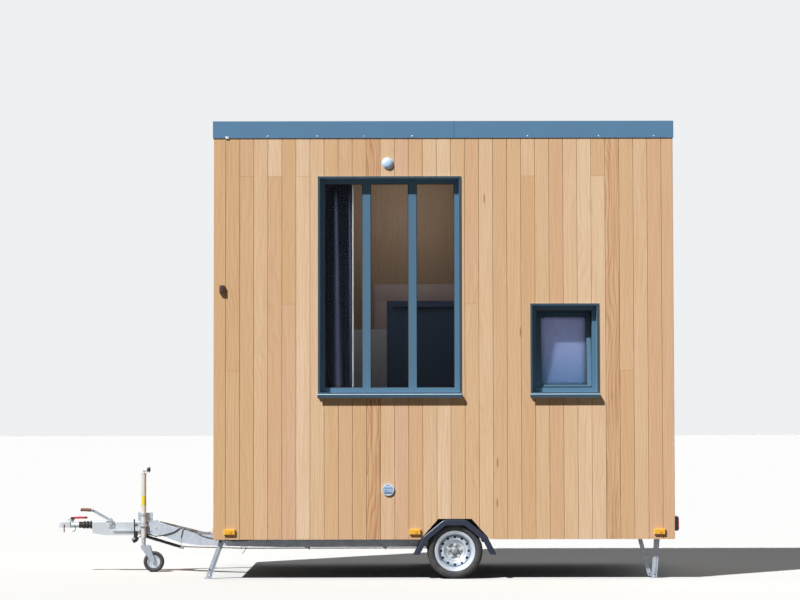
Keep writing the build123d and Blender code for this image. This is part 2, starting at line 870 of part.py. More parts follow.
def gaiter():
    """Rubber bellows round the drawtube: a narrow cuff in front and wide ribs behind it."""
    length = housing_front - gaiter_front - 2 * gaiter_seat
    inner = tube_radius + 2
    root, crest = gaiter_root, gaiter_radius
    points = [(inner, 0), (root + 1.5, 0), (root + 1.5, gaiter_cuff - 6)]
    pitch = (length - gaiter_cuff) / gaiter_ribs
    for i in range(gaiter_ribs):
        start = gaiter_cuff + pitch * i
        points += [(root, start), (crest - 1, start + pitch * 0.2), (crest, start + pitch * 0.45)]
        points += [(crest - 1, start + pitch * 0.7), (root, start + pitch * 0.9)]
    points += [(root + 2, length), (inner, length)]
    return Pos(gaiter_front + gaiter_seat, 0, tube_height) * Rot(0, 90, 0) * turned(points)


def handbrake_lever():
    """A flat bar that rises forwards from its pivot, bent to a level grip."""
    px, pz = handbrake_pivot
    y = handbrake_side
    boss = rod((px, y - 6, pz), (px, y + 6, pz), 20)
    bar = slab((px - handbrake_bar, px), (y - 5, y + 5), (pz - 12, pz + 12))
    toe = [(px - 20, pz), (px + 6, pz - 46), (px + 30, pz - 30), (px + 16, pz + 8)]
    quadrant = side_plate(toe, y - 5, y + 5)
    lever = Pos(px, y, pz) * Rot(0, handbrake_lift, 0) * Pos(-px, -y, -pz) * (boss + bar + quadrant)
    x = px - handbrake_bar * cos(radians(handbrake_lift))
    z = pz + handbrake_bar * sin(radians(handbrake_lift))
    lever += rod((x + 10, y, z), (x - handbrake_grip, y, z + 3), 15)
    return lever - rod((px, y - 20, pz), (px, y + 20, pz), 6 + pin_clearance)


def brake_rod():
    x0, z0 = sleeve_front
    x1, z1 = sleeve_rear
    sleeve = rod((x0, 0, z0), (x1, 0, z1), sleeve_radius)
    lever = [(x0 - 26, housing_bottom), (x0 + 14, housing_bottom), (x0 + 8, z0 - 14), (x0 - 10, z0 - 14)]
    bend = (front + 200, 0, rod_height)
    thin = rod((x1, 0, z1), bend, rod_radius) + Pos(*bend) * Sphere(rod_radius)
    thin += rod(bend, (axle_x - axle_set_forward - axle_beam / 2, 0, rod_height), rod_radius)
    return sleeve + side_plate(lever, -6, 6) + thin + Pos(x1, 0, z1) * Sphere(sleeve_radius)


def rod_hangers():
    """Flat ties under the drawbar beams, each with an eye that carries the brake rod."""
    pieces = []
    spread = (beam_spread - beam_nose_half) / (beam_bend - beam_nose)
    bottom = beam_top - beam_depth
    for setback in hanger_setbacks:
        x = front + setback
        half = min(beam_spread, beam_nose_half + (x - beam_nose) * spread) + beam_flange
        tie = slab((x - 20, x + 20), (-half - 8, half + 8), (bottom - 8, bottom))
        for out in (-1, 1):
            y0, y1 = sorted((out * half, out * (half + 8)))
            tie += slab((x - 20, x + 20), (y0, y1), (bottom - 8, bottom + 60))
        tie += slab((x - 4, x + 4), (-16, 16), (rod_height - 16, bottom - 4))
        tie -= rod((x - 10, 0, rod_height), (x + 10, 0, rod_height), rod_radius + 0.3)
        pieces.append(tie)
    return group(*pieces)


def jockey_clamp():
    """Split collar on a cast bracket bolted to the side of the housing."""
    x, y = jockey_x, jockey_y
    low, high = tube_height - 20, tube_height + 120
    beside_beam = beam_nose - 22
    over_beam = beam_nose_top + 6
    plate_z = (tube_height - 46, housing_top - 8)
    plate = slab((x - 36, beside_beam), (-housing_half - 18, -housing_half), plate_z)
    riser_y = (y + jockey_tube - 2, -housing_half - 12)
    riser = slab((x - 34, beside_beam), riser_y, (low, high))
    riser += slab((x - 56, x + 82), riser_y, (over_beam, high))
    collar = Pos(x, y, tube_height + 4) * Cylinder(jockey_tube + 9, 34)
    upper = Pos(x, y, high - 14) * Cylinder(jockey_tube + 9, 24)
    ears = slab((x - 96, x - 26), (y - 12, y + 12), (tube_height - 10, tube_height + 18))
    bore = Pos(x, y, tube_height) * Cylinder(jockey_tube, 600)
    bolt_x = x - clamp_reach
    bolt = rod((bolt_x, y - 34, tube_height + 4), (bolt_x, y + 26, tube_height + 4), 6)
    lever = rod((bolt_x, y - 30, tube_height + 58), (bolt_x, y - 30, tube_height - 108), 6)
    return plate + riser + collar + upper + ears - bore + bolt + lever


def jockey_outer_tube():
    x, y = jockey_x, jockey_y
    height = jockey_top - jockey_bottom
    tube = Pos(x, y, jockey_bottom) * upright(jockey_tube, height)
    bore = Pos(x, y, jockey_bottom - 1) * upright(jockey_tube - jockey_wall, height - 30)
    cap = Pos(x, y, jockey_top) * upright(jockey_tube + 3, 8)
    post = Pos(x, y, jockey_top) * upright(7, 20)
    return tube - bore + cap + post


def jockey_crank():
    x, y, z = jockey_x, jockey_y, jockey_top + 20
    turn = radians(-crank_angle)
    dx, dy = crank_radius * cos(turn), crank_radius * sin(turn)
    end = (x + dx, y + dy, z + 8)
    arm = rod((x, y, z + 8), end, 7)
    hub = Pos(x, y, z + 0.3) * upright(13, 14)
    knob = rod((end[0], end[1], z - 4), (end[0], end[1], z + 46), 16)
    return hub + arm + knob


def jockey_stem_tube():
    x, y = jockey_x, jockey_y
    return rod((x, y, jockey_crown), (x, y, jockey_crown + 380), jockey_stem)


def jockey_fork():
    """Crown plate under the stem, with two cheeks that trail back to the axle."""
    x, y = jockey_x, jockey_y
    half = jockey_width / 2 + 6
    top = jockey_crown - 0.3
    crown = Pos(x, y, top) * Cylinder(24, 10, align=(Align.CENTER, Align.CENTER, Align.MAX))
    crown += slab((x - 24, x + 66), (y - half - 5, y + half + 5), (top - 16, top - 6))
    wheel_x = x + jockey_trail
    eye = jockey_radius - 16
    cheek = [(x - 24, top - 16), (x - 24, top - 30), (wheel_x - 16, eye + 8), (wheel_x - 8, eye)]
    cheek += [(wheel_x + 8, eye), (wheel_x + 16, jockey_radius), (x + 66, top - 16)]
    piece = crown + side_plate(cheek, y - half - 5, y - half) + side_plate(cheek, y + half, y + half + 5)
    return piece + rod((wheel_x, y - half - 10, jockey_radius), (wheel_x, y + half + 10, jockey_radius), 8)


def jockey_place():
    return Pos(jockey_x + jockey_trail, jockey_y, jockey_radius) * Rot(90, 0, 0)


def jockey_tyre():
    half = jockey_width / 2
    bead, crown = jockey_rim + 0.3, jockey_radius
    return jockey_place() * turned([
        (bead, -half + 6), (crown - 16, -half), (crown - 4, -half + 8), (crown, -half + 16),
        (crown, half - 16), (crown - 4, half - 8), (crown - 16, half), (bead, half - 6),
    ])


def jockey_rim_piece():
    half = jockey_width / 2
    bore = 8 + pin_clearance
    edge, web = jockey_rim, jockey_rim - 10
    return jockey_place() * turned([
        (bore, -half), (18, -half), (20, -6), (web, -6), (edge - 8, -half + 7), (edge, -half + 7),
        (edge, half - 7), (edge - 8, half - 7), (web, 6), (20, 6), (18, half), (bore, half),
    ])


def leg(setback_x, lean, y):
    """A folded channel with a rounded top, a pin hole near the foot and a flat foot plate."""
    pivot = leg_pivot_height
    half = leg_width / 2
    reach = pivot / cos(radians(lean)) + half
    blank = slab((-half, half), (0, leg_depth), (-reach, 0))
    blank += rod((0, 0, 0), (0, leg_depth, 0), half)
    hollow = (-reach - 1, -2 * leg_pin)
    blank -= slab((-half + leg_sheet, half - leg_sheet), (leg_sheet, leg_depth + 1), hollow)
    ridge = slab((-7, 7), (-5, 0.5), (-reach, -40))
    hole = rod((0, -10, 0), (0, leg_depth + 10, 0), leg_pin + pin_clearance)
    peg = rod((0, -10, -reach + 60), (0, leg_sheet + 1, -reach + 60), 7)
    bar = Pos(setback_x, y, pivot) * Rot(0, lean, 0) * (blank + ridge - hole - peg)
    foot_x = setback_x - tan(radians(lean)) * pivot
    trimmed = bar - slab((foot_x - 200, foot_x + 200), (y - 100, y + 100), (-200, foot_sheet))
    plate = slab(span(foot_x, foot_length), (y - 10, y - 10 + foot_width), (0, foot_sheet))
    return trimmed + plate


front_leg_x = front + front_leg_setback
rear_leg_x = rear - rear_leg_setback
brace_x = rear - brace_setback
leg_face = -leg_y - leg_depth / 2


def leg_front():
    return leg(front_leg_x, front_leg_lean, leg_face)


def leg_rear():
    return leg(rear_leg_x, rear_leg_lean, leg_face)


def brace():
    half = brace_width / 2
    length = (leg_pivot_height - brace_eye_height) / cos(radians(brace_lean))
    bar = slab((-half, half), (0, brace_thickness), (-length, 0))
    for z in (0, -length):
        bar += rod((0, 0, z), (0, brace_thickness, z), half)
    bar -= rod((0, -5, 0), (0, brace_thickness + 5, 0), leg_pin + pin_clearance)
    bar -= rod((0, -5, -length), (0, brace_thickness + 5, -length), 7)
    return Pos(brace_x, -brace_y - brace_thickness / 2, leg_pivot_height) * Rot(0, brace_lean, 0) * bar


def stowed(piece, x, turn):
    """The same piece on the unseen side, folded up about its pin to lie under the floor."""
    return Pos(x, 0, leg_pivot_height) * Rot(0, turn, 0) * Pos(-x, 0, -leg_pivot_height) * other_side(piece)


def clevis(x, y0, y1):
    """Two plates under the floor either side of a leg, with the pin between them."""
    piece = rod((x, y0 - 8, leg_pivot_height), (x, y1 + 8, leg_pivot_height), leg_pin)
    low = leg_pivot_height - 18
    ear = [(x - 34, floor_bottom), (x - 18, low), (x + 18, low), (x + 34, floor_bottom)]
    for y in (y0 - 11, y1 + 5):
        piece += side_plate(ear, y, y + 6)
    return piece


def leg_brackets():
    pieces = []
    for x in (front_leg_x, rear_leg_x):
        pieces.append(clevis(x, leg_face - 5, leg_face + leg_depth))
    pieces.append(clevis(brace_x, -brace_y - brace_thickness / 2, -brace_y + brace_thickness / 2))
    return group(*pieces, *[other_side(p) for p in pieces])


def side_markers():
    width, height = marker_size
    pieces = []
    for setback in marker_setbacks:
        lens = slab(span(front + setback, width), (-side - marker_depth, -side), span(marker_height, height))
        pieces.append(fillet(lens.edges().group_by(Axis.Y)[0], 8))
    return group(*pieces, *[other_side(p) for p in pieces])


def end_lamps():
    depth, width, height = front_marker
    marker = slab((front - depth, front), span(-front_marker_y, width), span(front_marker_height, height))
    lamp_width, lamp_height = rear_lamp_size
    lamp_z = span(rear_lamp_height, lamp_height)
    lamp = slab((rear, rear + rear_lamp_depth), span(-rear_lamp_y, lamp_width), lamp_z)
    lamp = fillet(lamp.edges().filter_by(Axis.Z).group_by(Axis.X)[-1], 12)
    return group(marker, other_side(marker), lamp, other_side(lamp))


def wall_vents():
    """A domed cowl above and a louvred disc below."""
    x = front + vent_setback
    cowl = Pos(x, -side, upper_vent_height) * Rot(90, 0, 0) * turned([
        (0, 0), (vent_radius, 0), (vent_radius, 5), (vent_radius - 8, 18), (vent_radius - 24, 28), (0, 32),
    ])
    disc = Pos(x, -side, lower_vent_height) * Rot(90, 0, 0) * upright(vent_radius, vent_depth)
    ring = Pos(x, -side - vent_depth, lower_vent_height) * Rot(90, 0, 0) * Cylinder(vent_radius - 8, 20)
    louvres = disc & ring
    for i in range(6):
        z = lower_vent_height - 38 + i * 15
        disc -= louvres & slab((x - 60, x + 60), (-side - 30, -side - 5), (z, z + 7))
    return group(cowl, disc)


def wall_knob():
    width, height = knob_size
    knob = slab(span(front + knob_setback, width), (-side - knob_depth, -side), span(knob_height, height))
    return fillet(knob.edges().group_by(Axis.Y)[0], 14)


def lead_route():
    """Corners of the electric lead, from its plug beside the jockey wheel to under the deck."""

    def beam_at(x):
        """Outer face and top of the drawbar beam at a place along it."""
        spread = (beam_spread - beam_nose_half) / (beam_bend - beam_nose)
        outer = beam_nose_half + (x - beam_nose) * spread + beam_flange * hypot(1, spread)
        fall = (x - beam_nose - beam_nose_flat) / (beam_crank_end - beam_nose - beam_nose_flat)
        return -outer, beam_nose_top + min(1, fall) * (beam_top - beam_nose_top)

    def beside(x, drop):
        outer, top = beam_at(x)
        return (x, outer - lead_radius - 3, top - drop)

    def above(x, inset):
        outer, top = beam_at(x)
        return (x, outer + inset, top + lead_radius + 4)

    edge = -lead_radius - 4
    tie = nose + 1246
    last = beam_at(nose + 2100)[0] - 30
    return [
        (nose + 766, -58, 322), (nose + 812, -62, 350), (nose + 880, -84, 360), (nose + 960, -140, 342),
        beside(nose + 1054, 98), beside(nose + 1138, 50), above(nose + 1196, edge), above(tie, 22),
        above(nose + 1300, 26), above(nose + 1362, edge), beside(nose + 1425, 10), beside(nose + 1510, 28),
        beside(nose + 1610, 38),
        beside(nose + 1740, 54), beside(nose + 1870, 40), (nose + 1990, last + 26, deck_bottom - 24),
        (nose + 2060, last, deck_bottom + 30), (nose + 2060, last, floor_bottom),
    ]


def lead():
    points = [Vector(*p) for p in lead_route()]
    radii = []
    for a, b, c in zip(points, points[1:], points[2:]):
        turn = radians((b - a).get_angle(c - b))
        radii.append(0.45 * min((b - a).length, (c - b).length) / tan(turn / 2))
    path = FilletPolyline(*points, radius=radii)
    start = Plane(origin=points[0], z_dir=points[1] - points[0])
    return sweep(start * Circle(lead_radius), path=path)


def lead_plug():
    """The plug parked in its holder, a plate on the side of the overrun housing."""
    a, b = [Vector(*p) for p in lead_route()[:2]]
    out = (a - b).normalized()
    plug = rod(tuple(a), tuple(a + out * 34), 17) + rod(tuple(a + out * 34), tuple(a + out * 50), 22)
    x, y, z = a + out * 20
    plate = slab((x - 18, x + 18), (-housing_half - 5, -housing_half), (z - 14, tube_height - 60))
    return plug + plate + slab((x - 12, x + 12), (y, -housing_half), (z - 12, z + 12))


parts = {
    "floor": floor(),
    "wall_left": wall_left(),
    "wall_right": wall_right(),
    "wall_front": wall_front(),
    "wall_rear": wall_rear(),
    "cladding_left": cladding_left(),
    "cladding_right": cladding_right(),
    "cladding_ends": cladding_ends(),
    "roof": roof(),
    "fascia": fascia(),
    "roof_cover": roof_cover(),
    "large_window_surround": large_window_surround(),
    "small_window_surrounds": small_window_surrounds(),
    "window_frames": window_frames(),
    "window_glass": window_glass(),
    "curtains": curtains(),
    "curtain_rails": curtain_rails(),
    "door_frame": door_frame(),
    "door_hinges": door_hinges(),
    "door_leaf": door_leaf(),
    "door_handle": door_handle(),
    "deck_rails": deck_rails(),
    "deck_cross_members": deck_cross_members(),
    "edge_rails": edge_rails(),
    "drawbar_beam_left": drawbar_beam(),
    "drawbar_beam_right": other_side(drawbar_beam()),
    "axle": axle(),
    "tyre_left": wheel_place(-1) * tyre(),
    "tyre_right": wheel_place(1) * tyre(),
    "rim_left": wheel_place(-1) * rim(),
    "rim_right": wheel_place(1) * rim(),
    "mudguard_left": mudguard(),
    "mudguard_right": other_side(mudguard()),
    "overrun_housing": overrun_housing(),
    "drawtube": drawtube(),
    "coupling_handle": coupling_handle(),
    "gaiter": gaiter(),
    "handbrake_lever": handbrake_lever(),
    "brake_rod": brake_rod(),
    "rod_hangers": rod_hangers(),
    "jockey_clamp": jockey_clamp(),
    "jockey_outer_tube": jockey_outer_tube(),
    "jockey_crank": jockey_crank(),
    "jockey_stem": jockey_stem_tube(),
    "jockey_fork": jockey_fork(),
    "jockey_tyre": jockey_tyre(),
    "jockey_rim": jockey_rim_piece(),
    "leg_front_left": leg_front(),
    "leg_front_right": stowed(leg_front(), front_leg_x, -front_leg_fold),
    "leg_rear_left": leg_rear(),
    "leg_rear_right": stowed(leg_rear(), rear_leg_x, rear_leg_fold),
    "brace_left": brace(),
    "brace_right": stowed(brace(), brace_x, brace_fold),
    "leg_brackets": leg_brackets(),
    "side_markers": side_markers(),
    "end_lamps": end_lamps(),
    "wall_fittings": group(wall_vents(), wall_knob()),
    "lead": lead(),
    "lead_plug": lead_plug(),
}

os.makedirs("parts", exist_ok=True)
for name, piece in parts.items():
    export_step(piece, f"parts/{name}.step")
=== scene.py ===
# %% [markdown]
# A tiny timber house on a single-axle trailer. The construction is already there as a fixed frame,
# in metres, with +Z up, the drawbar towards -X and the large window facing -Y. This script gives
# each surface its finish and adds what is too fine for the construction: the boards, the cloth,
# the seals, the screws and the tread. Most new pieces are placed from the boxes of the pieces that
# carry them.

# %% Load the frame
import math
import random

import bmesh
import bpy
from mathutils import Matrix, Vector, noise


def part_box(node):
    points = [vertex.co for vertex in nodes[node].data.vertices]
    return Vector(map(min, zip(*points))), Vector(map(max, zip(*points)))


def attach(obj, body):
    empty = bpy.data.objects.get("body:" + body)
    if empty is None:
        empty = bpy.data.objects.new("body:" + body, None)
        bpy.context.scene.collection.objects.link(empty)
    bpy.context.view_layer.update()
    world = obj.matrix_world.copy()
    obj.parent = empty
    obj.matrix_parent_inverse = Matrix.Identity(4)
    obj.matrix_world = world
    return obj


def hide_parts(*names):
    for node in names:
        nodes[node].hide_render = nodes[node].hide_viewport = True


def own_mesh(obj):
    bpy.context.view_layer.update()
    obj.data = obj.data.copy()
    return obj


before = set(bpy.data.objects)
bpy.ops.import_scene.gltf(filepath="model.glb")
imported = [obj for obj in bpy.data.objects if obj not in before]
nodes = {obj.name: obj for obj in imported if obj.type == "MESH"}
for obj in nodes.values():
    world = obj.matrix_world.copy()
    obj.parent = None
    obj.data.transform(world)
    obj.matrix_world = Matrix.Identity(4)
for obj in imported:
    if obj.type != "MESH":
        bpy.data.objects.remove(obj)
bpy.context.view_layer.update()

# %% [markdown]
# The photograph was taken from some 23 m away with a long lens, a little right of the middle of the
# body and at chest height. The horizon sits below the middle of the picture, so the camera looks up
# slightly, and the upright edges lean together by a pixel or two.

# %% Camera
PHOTO_SIZE = (800, 600)
FOCAL_PIXELS = 2500.0
SENSOR = 36.0
HORIZON_ROW = 415.0
EYE = Vector((0.3725, -24.35, 1.51))
ROLL = 0.0017

scene = bpy.context.scene


def put(name, data):
    """A new object in the scene."""
    thing = bpy.data.objects.new(name, data)
    scene.collection.objects.link(thing)
    return thing


camera_data = bpy.data.cameras.new("camera")
camera_data.sensor_width = SENSOR
camera_data.lens = FOCAL_PIXELS / PHOTO_SIZE[0] * SENSOR
camera_data.clip_end = 400.0
camera = put("camera", camera_data)
pitch = math.atan((HORIZON_ROW - PHOTO_SIZE[1] / 2) / FOCAL_PIXELS)
camera.location = EYE
camera.rotation_euler = (math.pi / 2 + pitch, ROLL, 0)
scene.camera = camera
scene.view_settings.view_transform = "Standard"
print("lens", round(camera_data.lens, 1), "mm, tilted up", round(math.degrees(pitch), 2), "degrees")

# %% [markdown]
# A material is a tree of nodes, and a script makes it one node and one link at a time. That gets
# long, so here each node is one call, and what comes out of it can be added and multiplied like a
# number. The sums below then read as they would on paper.

# %% Node helpers
class Value:
    """What comes out of a node. Arithmetic on it adds Math nodes to the same tree."""

    def __init__(self, socket):
        self.socket = socket
        self.tree = socket.id_data

    def maths(self, operation, other=0.0, clamp=False):
        return add(self.tree, "Math", {0: self, 1: other}, operation=operation, use_clamp=clamp)[0]

    def __add__(self, other):
        return self.maths("ADD", other)

    def __sub__(self, other):
        return self.maths("SUBTRACT", other)

    def __mul__(self, other):
        return self.maths("MULTIPLY", other)


class Outputs:
    """The outputs of a node, by name or number."""

    def __init__(self, sockets):
        self.sockets = sockets

    def __getitem__(self, key):
        return Value(self.sockets[key])


def fill(node, sockets):
    """Puts values, links or colours into sockets that are given by name or number."""
    for key, value in sockets.items():
        socket = node.inputs[key]
        if isinstance(value, Value):
            value.tree.links.new(value.socket, socket)
        else:
            socket.default_value = (*value, 1.0) if socket.type == "RGBA" else value


def add(tree, kind, sockets=None, **settings):
    """Adds a shader node with its properties and sockets, and gives back its outputs."""
    node = tree.nodes.new("ShaderNode" + kind)
    for name, value in settings.items():
        setattr(node, name, value)
    fill(node, sockets or {})
    return Outputs(node.outputs)


def vectors(operation, a, b, socket=1):
    """One Vector Math node's output."""
    return add(a.tree, "VectorMath", {0: a, socket: b}, operation=operation)[0]


def spread(value, low, high, to_low=0.0, to_high=1.0):
    """A value stretched from one range to another and held inside it."""
    return add(value.tree, "MapRange", {0: value, 1: low, 2: high, 3: to_low, 4: to_high}, clamp=True)[0]


def tint(factor, a, b):
    """Two colours mixed by a factor. Sockets 6 and 7 of the Mix node are its colours."""
    return add(factor.tree, "Mix", {0: factor, 6: a, 7: b}, data_type="RGBA")[2]


def seen(tree):
    """1 for what the camera sees, also through glass and in metal, and 0 for light on the house."""
    rays = add(tree, "LightPath")
    indirect = rays["Is Transmission Ray"].maths("MAXIMUM", rays["Is Glossy Ray"])
    return rays["Is Camera Ray"].maths("MAXIMUM", indirect)


# %% [markdown]
# A sun from the upper left throws short crisp shadows under the sills and in the window reveals. A
# pale world fills the shade, more from behind than from the front, so that the far side reads as
# well. Camera, mirror and glass rays see an even pale background instead.

# %% Sun and world
SUN_DIRECTION = Vector((1.0, 1.0, -1.5)).normalized()
SUN_STRENGTH = 5.75
SUN_ANGLE = math.radians(1.2)
WORLD_FRONT = 0.06
WORLD_BACK = 0.75
WORLD_TINT = (0.93, 0.96, 1.0)
BACKGROUND = (0.86, 0.87, 0.88)

sun_data = bpy.data.lights.new("sun", "SUN")
sun_data.energy = SUN_STRENGTH
sun_data.angle = SUN_ANGLE
sun = put("sun", sun_data)
sun.rotation_mode = "QUATERNION"
sun.rotation_quaternion = SUN_DIRECTION.to_track_quat("-Z", "Y")
sun.visible_transmission = False

world = bpy.data.worlds.new("studio")
world.use_nodes = True
scene.world = world
tree = world.node_tree
tree.nodes.clear()
facing = add(tree, "SeparateXYZ", {0: add(tree, "TexCoord")["Generated"]})
strength = spread(facing[1] + facing[0] * 0.6, -0.1, 0.9, WORLD_FRONT, WORLD_BACK)
lit = add(tree, "Background", {"Color": WORLD_TINT, "Strength": strength})
shown = add(tree, "Background", {"Color": BACKGROUND, "Strength": 1.0})
add(tree, "OutputWorld", {0: add(tree, "MixShader", {0: seen(tree), 1: lit[0], 2: shown[0]})[0]})
print("sun", SUN_STRENGTH, "world", WORLD_FRONT, "to", WORLD_BACK)

# %% [markdown]
# Each kind of finish is a node group: the grain of a board, the crystals of hot-dip zinc, the faint
# orange peel of a baked coating, the weave of a cloth. Each material could hold its own copy of the
# nodes, but a group is built once and placed with other values. It takes a place and a few values,
# and gives a colour, a height and mostly a roughness. The shader that uses them stays in the
# material.

# %% Group helpers
FLOAT, VECTOR, COLOUR = "NodeSocketFloat", "NodeSocketVector", "NodeSocketColor"
SURFACE = {"Color": COLOUR, "Roughness": FLOAT, "Height": FLOAT}


def new_group(name, outputs, **inputs):
    """An empty shader group. The sockets come as names with their kinds."""
    group = bpy.data.node_groups.new(name, "ShaderNodeTree")
    for way, sockets in (("INPUT", {"Vector": VECTOR, **inputs}), ("OUTPUT", outputs)):
        for label, kind in sockets.items():
            group.interface.new_socket(label, in_out=way, socket_type=kind)
    print("group", name)
    return group, Outputs(group.nodes.new("NodeGroupInput").outputs), group.nodes.new("NodeGroupOutput")


def attribute(tree, name):
    return add(tree, "Attribute", attribute_name=name)["Fac"]


def noise_value(vector, scale, detail=3.0, roughness=0.55):
    sockets = {"Vector": vector, "Scale": scale, "Detail": detail, "Roughness": roughness}
    return add(vector.tree, "TexNoise", sockets)[0]


# %% [markdown]
# Softwood is pale between its growth rings and darker along them. Sawn lengthwise, the rings become
# long streaks. A noise that is stretched sixty times along the board gives the streaks, a second one
# the fine fibres, and bands that wander give the ring figure. The random number that each board
# carries moves the pattern, and its tone and heart wood choose among the colours.

# %% Group: board grain
RING_SCALE = 26.0
RING_SWING = 8.1
KNOT_BROWN = (0.26, 0.12, 0.06)
grain_group, given, made = new_group(
    "board_grain", SURFACE, Pale=COLOUR, Straw=COLOUR, Pink=COLOUR, Dark=COLOUR, Heart=COLOUR,
    Roughness=FLOAT,
)
board, tone, heart = (attribute(grain_group, name) for name in ("board", "tone", "heart"))
where = add(grain_group, "SeparateXYZ", {0: given["Vector"]})
across = where[0] + where[1]
place = add(grain_group, "CombineXYZ", {0: across, 2: where[2]})[0]
shift = add(grain_group, "CombineXYZ", {0: board * 37.0, 1: board * 91.0, 2: board * 53.0})[0]


def on_board(fine_across, fine_along):
    """A place that is stretched along the boards and lies differently on each."""
    return vectors("ADD", vectors("MULTIPLY", place, (fine_across, fine_across, fine_along)), shift)


rings = across * RING_SCALE + noise_value(on_board(3.0, 0.9), 1.0, 2.0) * RING_SWING + board * 17.0
late_wood = spread(rings.maths("FRACT"), 0.55, 0.95) * 0.42
streaks = spread(noise_value(on_board(95.0, 1.6), 1.0, 4.0, 0.6), 0.38, 0.72) * 0.75
streak = late_wood.maths("ADD", streaks, clamp=True)
fibres = noise_value(on_board(620.0, 9.0), 1.0, 3.0, 0.6)
clouds = noise_value(on_board(7.0, 1.3), 1.0, 3.0, 0.6)
spots = add(grain_group, "TexVoronoi", {"Vector": on_board(11.0, 1.9), "Scale": 1.0, "Randomness": 1.0})
chance = add(grain_group, "SeparateColor", {0: spots["Color"]})[0]
knot = spread(spots["Distance"], 0.03, 0.12, 1.0, 0.0) * spread(chance, 0.86, 0.88)
colour = tint(spread(tone, 0.0, 0.55), given["Pale"], given["Straw"])
colour = tint(spread(tone, 0.55, 1.0), colour, given["Pink"])
colour = tint(spread(clouds, 0.35, 0.75, 0.0, 0.45), colour, given["Straw"])
colour = tint(streak * 0.36, colour, given["Dark"])
colour = tint(heart * spread(streak, 0.15, 0.75), colour, given["Heart"])
colour = tint(knot * 0.8, colour, KNOT_BROWN)
fill(made, {
    "Color": vectors("SCALE", colour, spread(fibres, 0.2, 0.8, 0.93, 1.07), "Scale"),
    "Roughness": given["Roughness"] - streak * 0.12, "Height": streak * 0.5 + fibres,
})

# %% [markdown]
# Hot-dip zinc freezes into flat crystals a centimetre or so wide, each with its own grey. A Voronoi
# pattern gives the crystals, and a noise clouds them, because new zinc dulls unevenly.

# %% Group: zinc crystals
zinc_group, given, made = new_group("zinc_crystals", SURFACE, Scale=FLOAT, Dark=COLOUR, Light=COLOUR)
where = given["Vector"]
bent = vectors("ADD", where, noise_value(where, 30.0, 2.0) * 0.01)
crystals = add(zinc_group, "TexVoronoi", {"Vector": bent, "Scale": given["Scale"]})
level = add(zinc_group, "SeparateColor", {0: crystals["Color"]})[0]
grey = level * 0.45 + spread(noise_value(where, 6.0, 4.0, 0.6), 0.3, 0.7) * 0.55
fill(made, {
    "Color": tint(grey, given["Dark"], given["Light"]), "Roughness": spread(grey, 0.0, 1.0, 0.52, 0.34),
    "Height": noise_value(where, 160.0, 3.0),
})

# %% [markdown]
# A baked coating, a moulding and a casting differ in how coarse their skin is and how unevenly they
# shine. One group serves all three: a fine noise for the skin, a broad one for the shine, and a
# little road dust that settles low on the trailer.

# %% Group: skin of a coated, moulded or cast piece
DUST_HEIGHT = 0.75
DUST = (0.27, 0.265, 0.265)
skin_group, given, made = new_group(
    "skin", SURFACE, Color=COLOUR, Variation=FLOAT, Roughness=FLOAT, Grain=FLOAT, Dust=FLOAT,
)
where = given["Vector"]
uneven = noise_value(where, 4.0, 4.0, 0.6) - 0.5
near_ground = spread(add(skin_group, "SeparateXYZ", {0: where})[2], 0.0, DUST_HEIGHT, 1.0, 0.0)
dust = near_ground * given["Dust"] * spread(noise_value(where, 14.0, 5.0, 0.65), 0.35, 0.75)
colour = vectors("SCALE", given["Color"], given["Variation"] * uneven + 1.0, "Scale")
rough = given["Roughness"] + dust * 0.35
fill(made, {
    "Color": tint(dust, colour, DUST), "Roughness": rough.maths("ADD", uneven * 0.12, clamp=True),
    "Height": noise_value(where, given["Grain"], 3.0),
})

# %% [markdown]
# Plain woven cloth is a grid of threads that pass over and under. A picture of cloth could be laid
# on it, but two crossed waves on the cloth's own UV map give the threads at any distance and follow
# the folds. The colour turns to a second, painted light colour where the cloth carries a high
# painted_light_share value: a painted highlight on the curtain, a painted reflection on the screen.

# %% Group: weave
THREADS = 5200.0
weave_group, given, made = new_group(
    "weave", {"Color": COLOUR, "Height": FLOAT}, Colour=COLOUR, Faded=COLOUR,
)
where = add(weave_group, "SeparateXYZ", {0: given["Vector"]})
warp, weft = ((where[i] * THREADS).maths("SINE") for i in (0, 1))
slub = noise_value(vectors("MULTIPLY", given["Vector"], (60.0, 6.0, 1.0)), 1.0, 3.0)
colour = tint(attribute(weave_group, "painted_light_share"), given["Colour"], given["Faded"])
fill(made, {
    "Color": vectors("SCALE", colour, spread(slub, 0.2, 0.8, 0.85, 1.12), "Scale"), "Height": warp * weft,
})

# %% [markdown]
# Every material but the glass and the studio floor joins such a group to a Principled shader in the
# same way, with a bump from the group's height. What then sets metal, rubber and plastic apart is a
# few values, so each finish is one line.

# %% Material helpers
def new_material(name):
    """A material with an empty tree."""
    material = bpy.data.materials.new(name)
    material.use_nodes = True
    material.node_tree.nodes.clear()
    return material, material.node_tree


def from_group(name, group, sockets, bump, distance=0.0006, place="Object", **shine):
    """A material of one of the groups. Shine may hold a metallic, a specular and a roughness value."""
    material, tree = new_material(name)
    sockets = {"Vector": add(tree, "TexCoord")[place], **sockets}
    made = add(tree, "Group", sockets, node_tree=group)
    normal = add(tree, "Bump", {"Height": made["Height"], "Strength": bump, "Distance": distance})[0]
    shader = add(tree, "BsdfPrincipled", {
        "Base Color": made["Color"], "Normal": normal,
        "Roughness": shine["roughness"] if "roughness" in shine else made["Roughness"],
        "Metallic": shine.get("metallic", 0.0), "Specular IOR Level": shine.get("specular", 0.5),
    })
    add(tree, "OutputMaterial", {0: shader[0]})
    return material


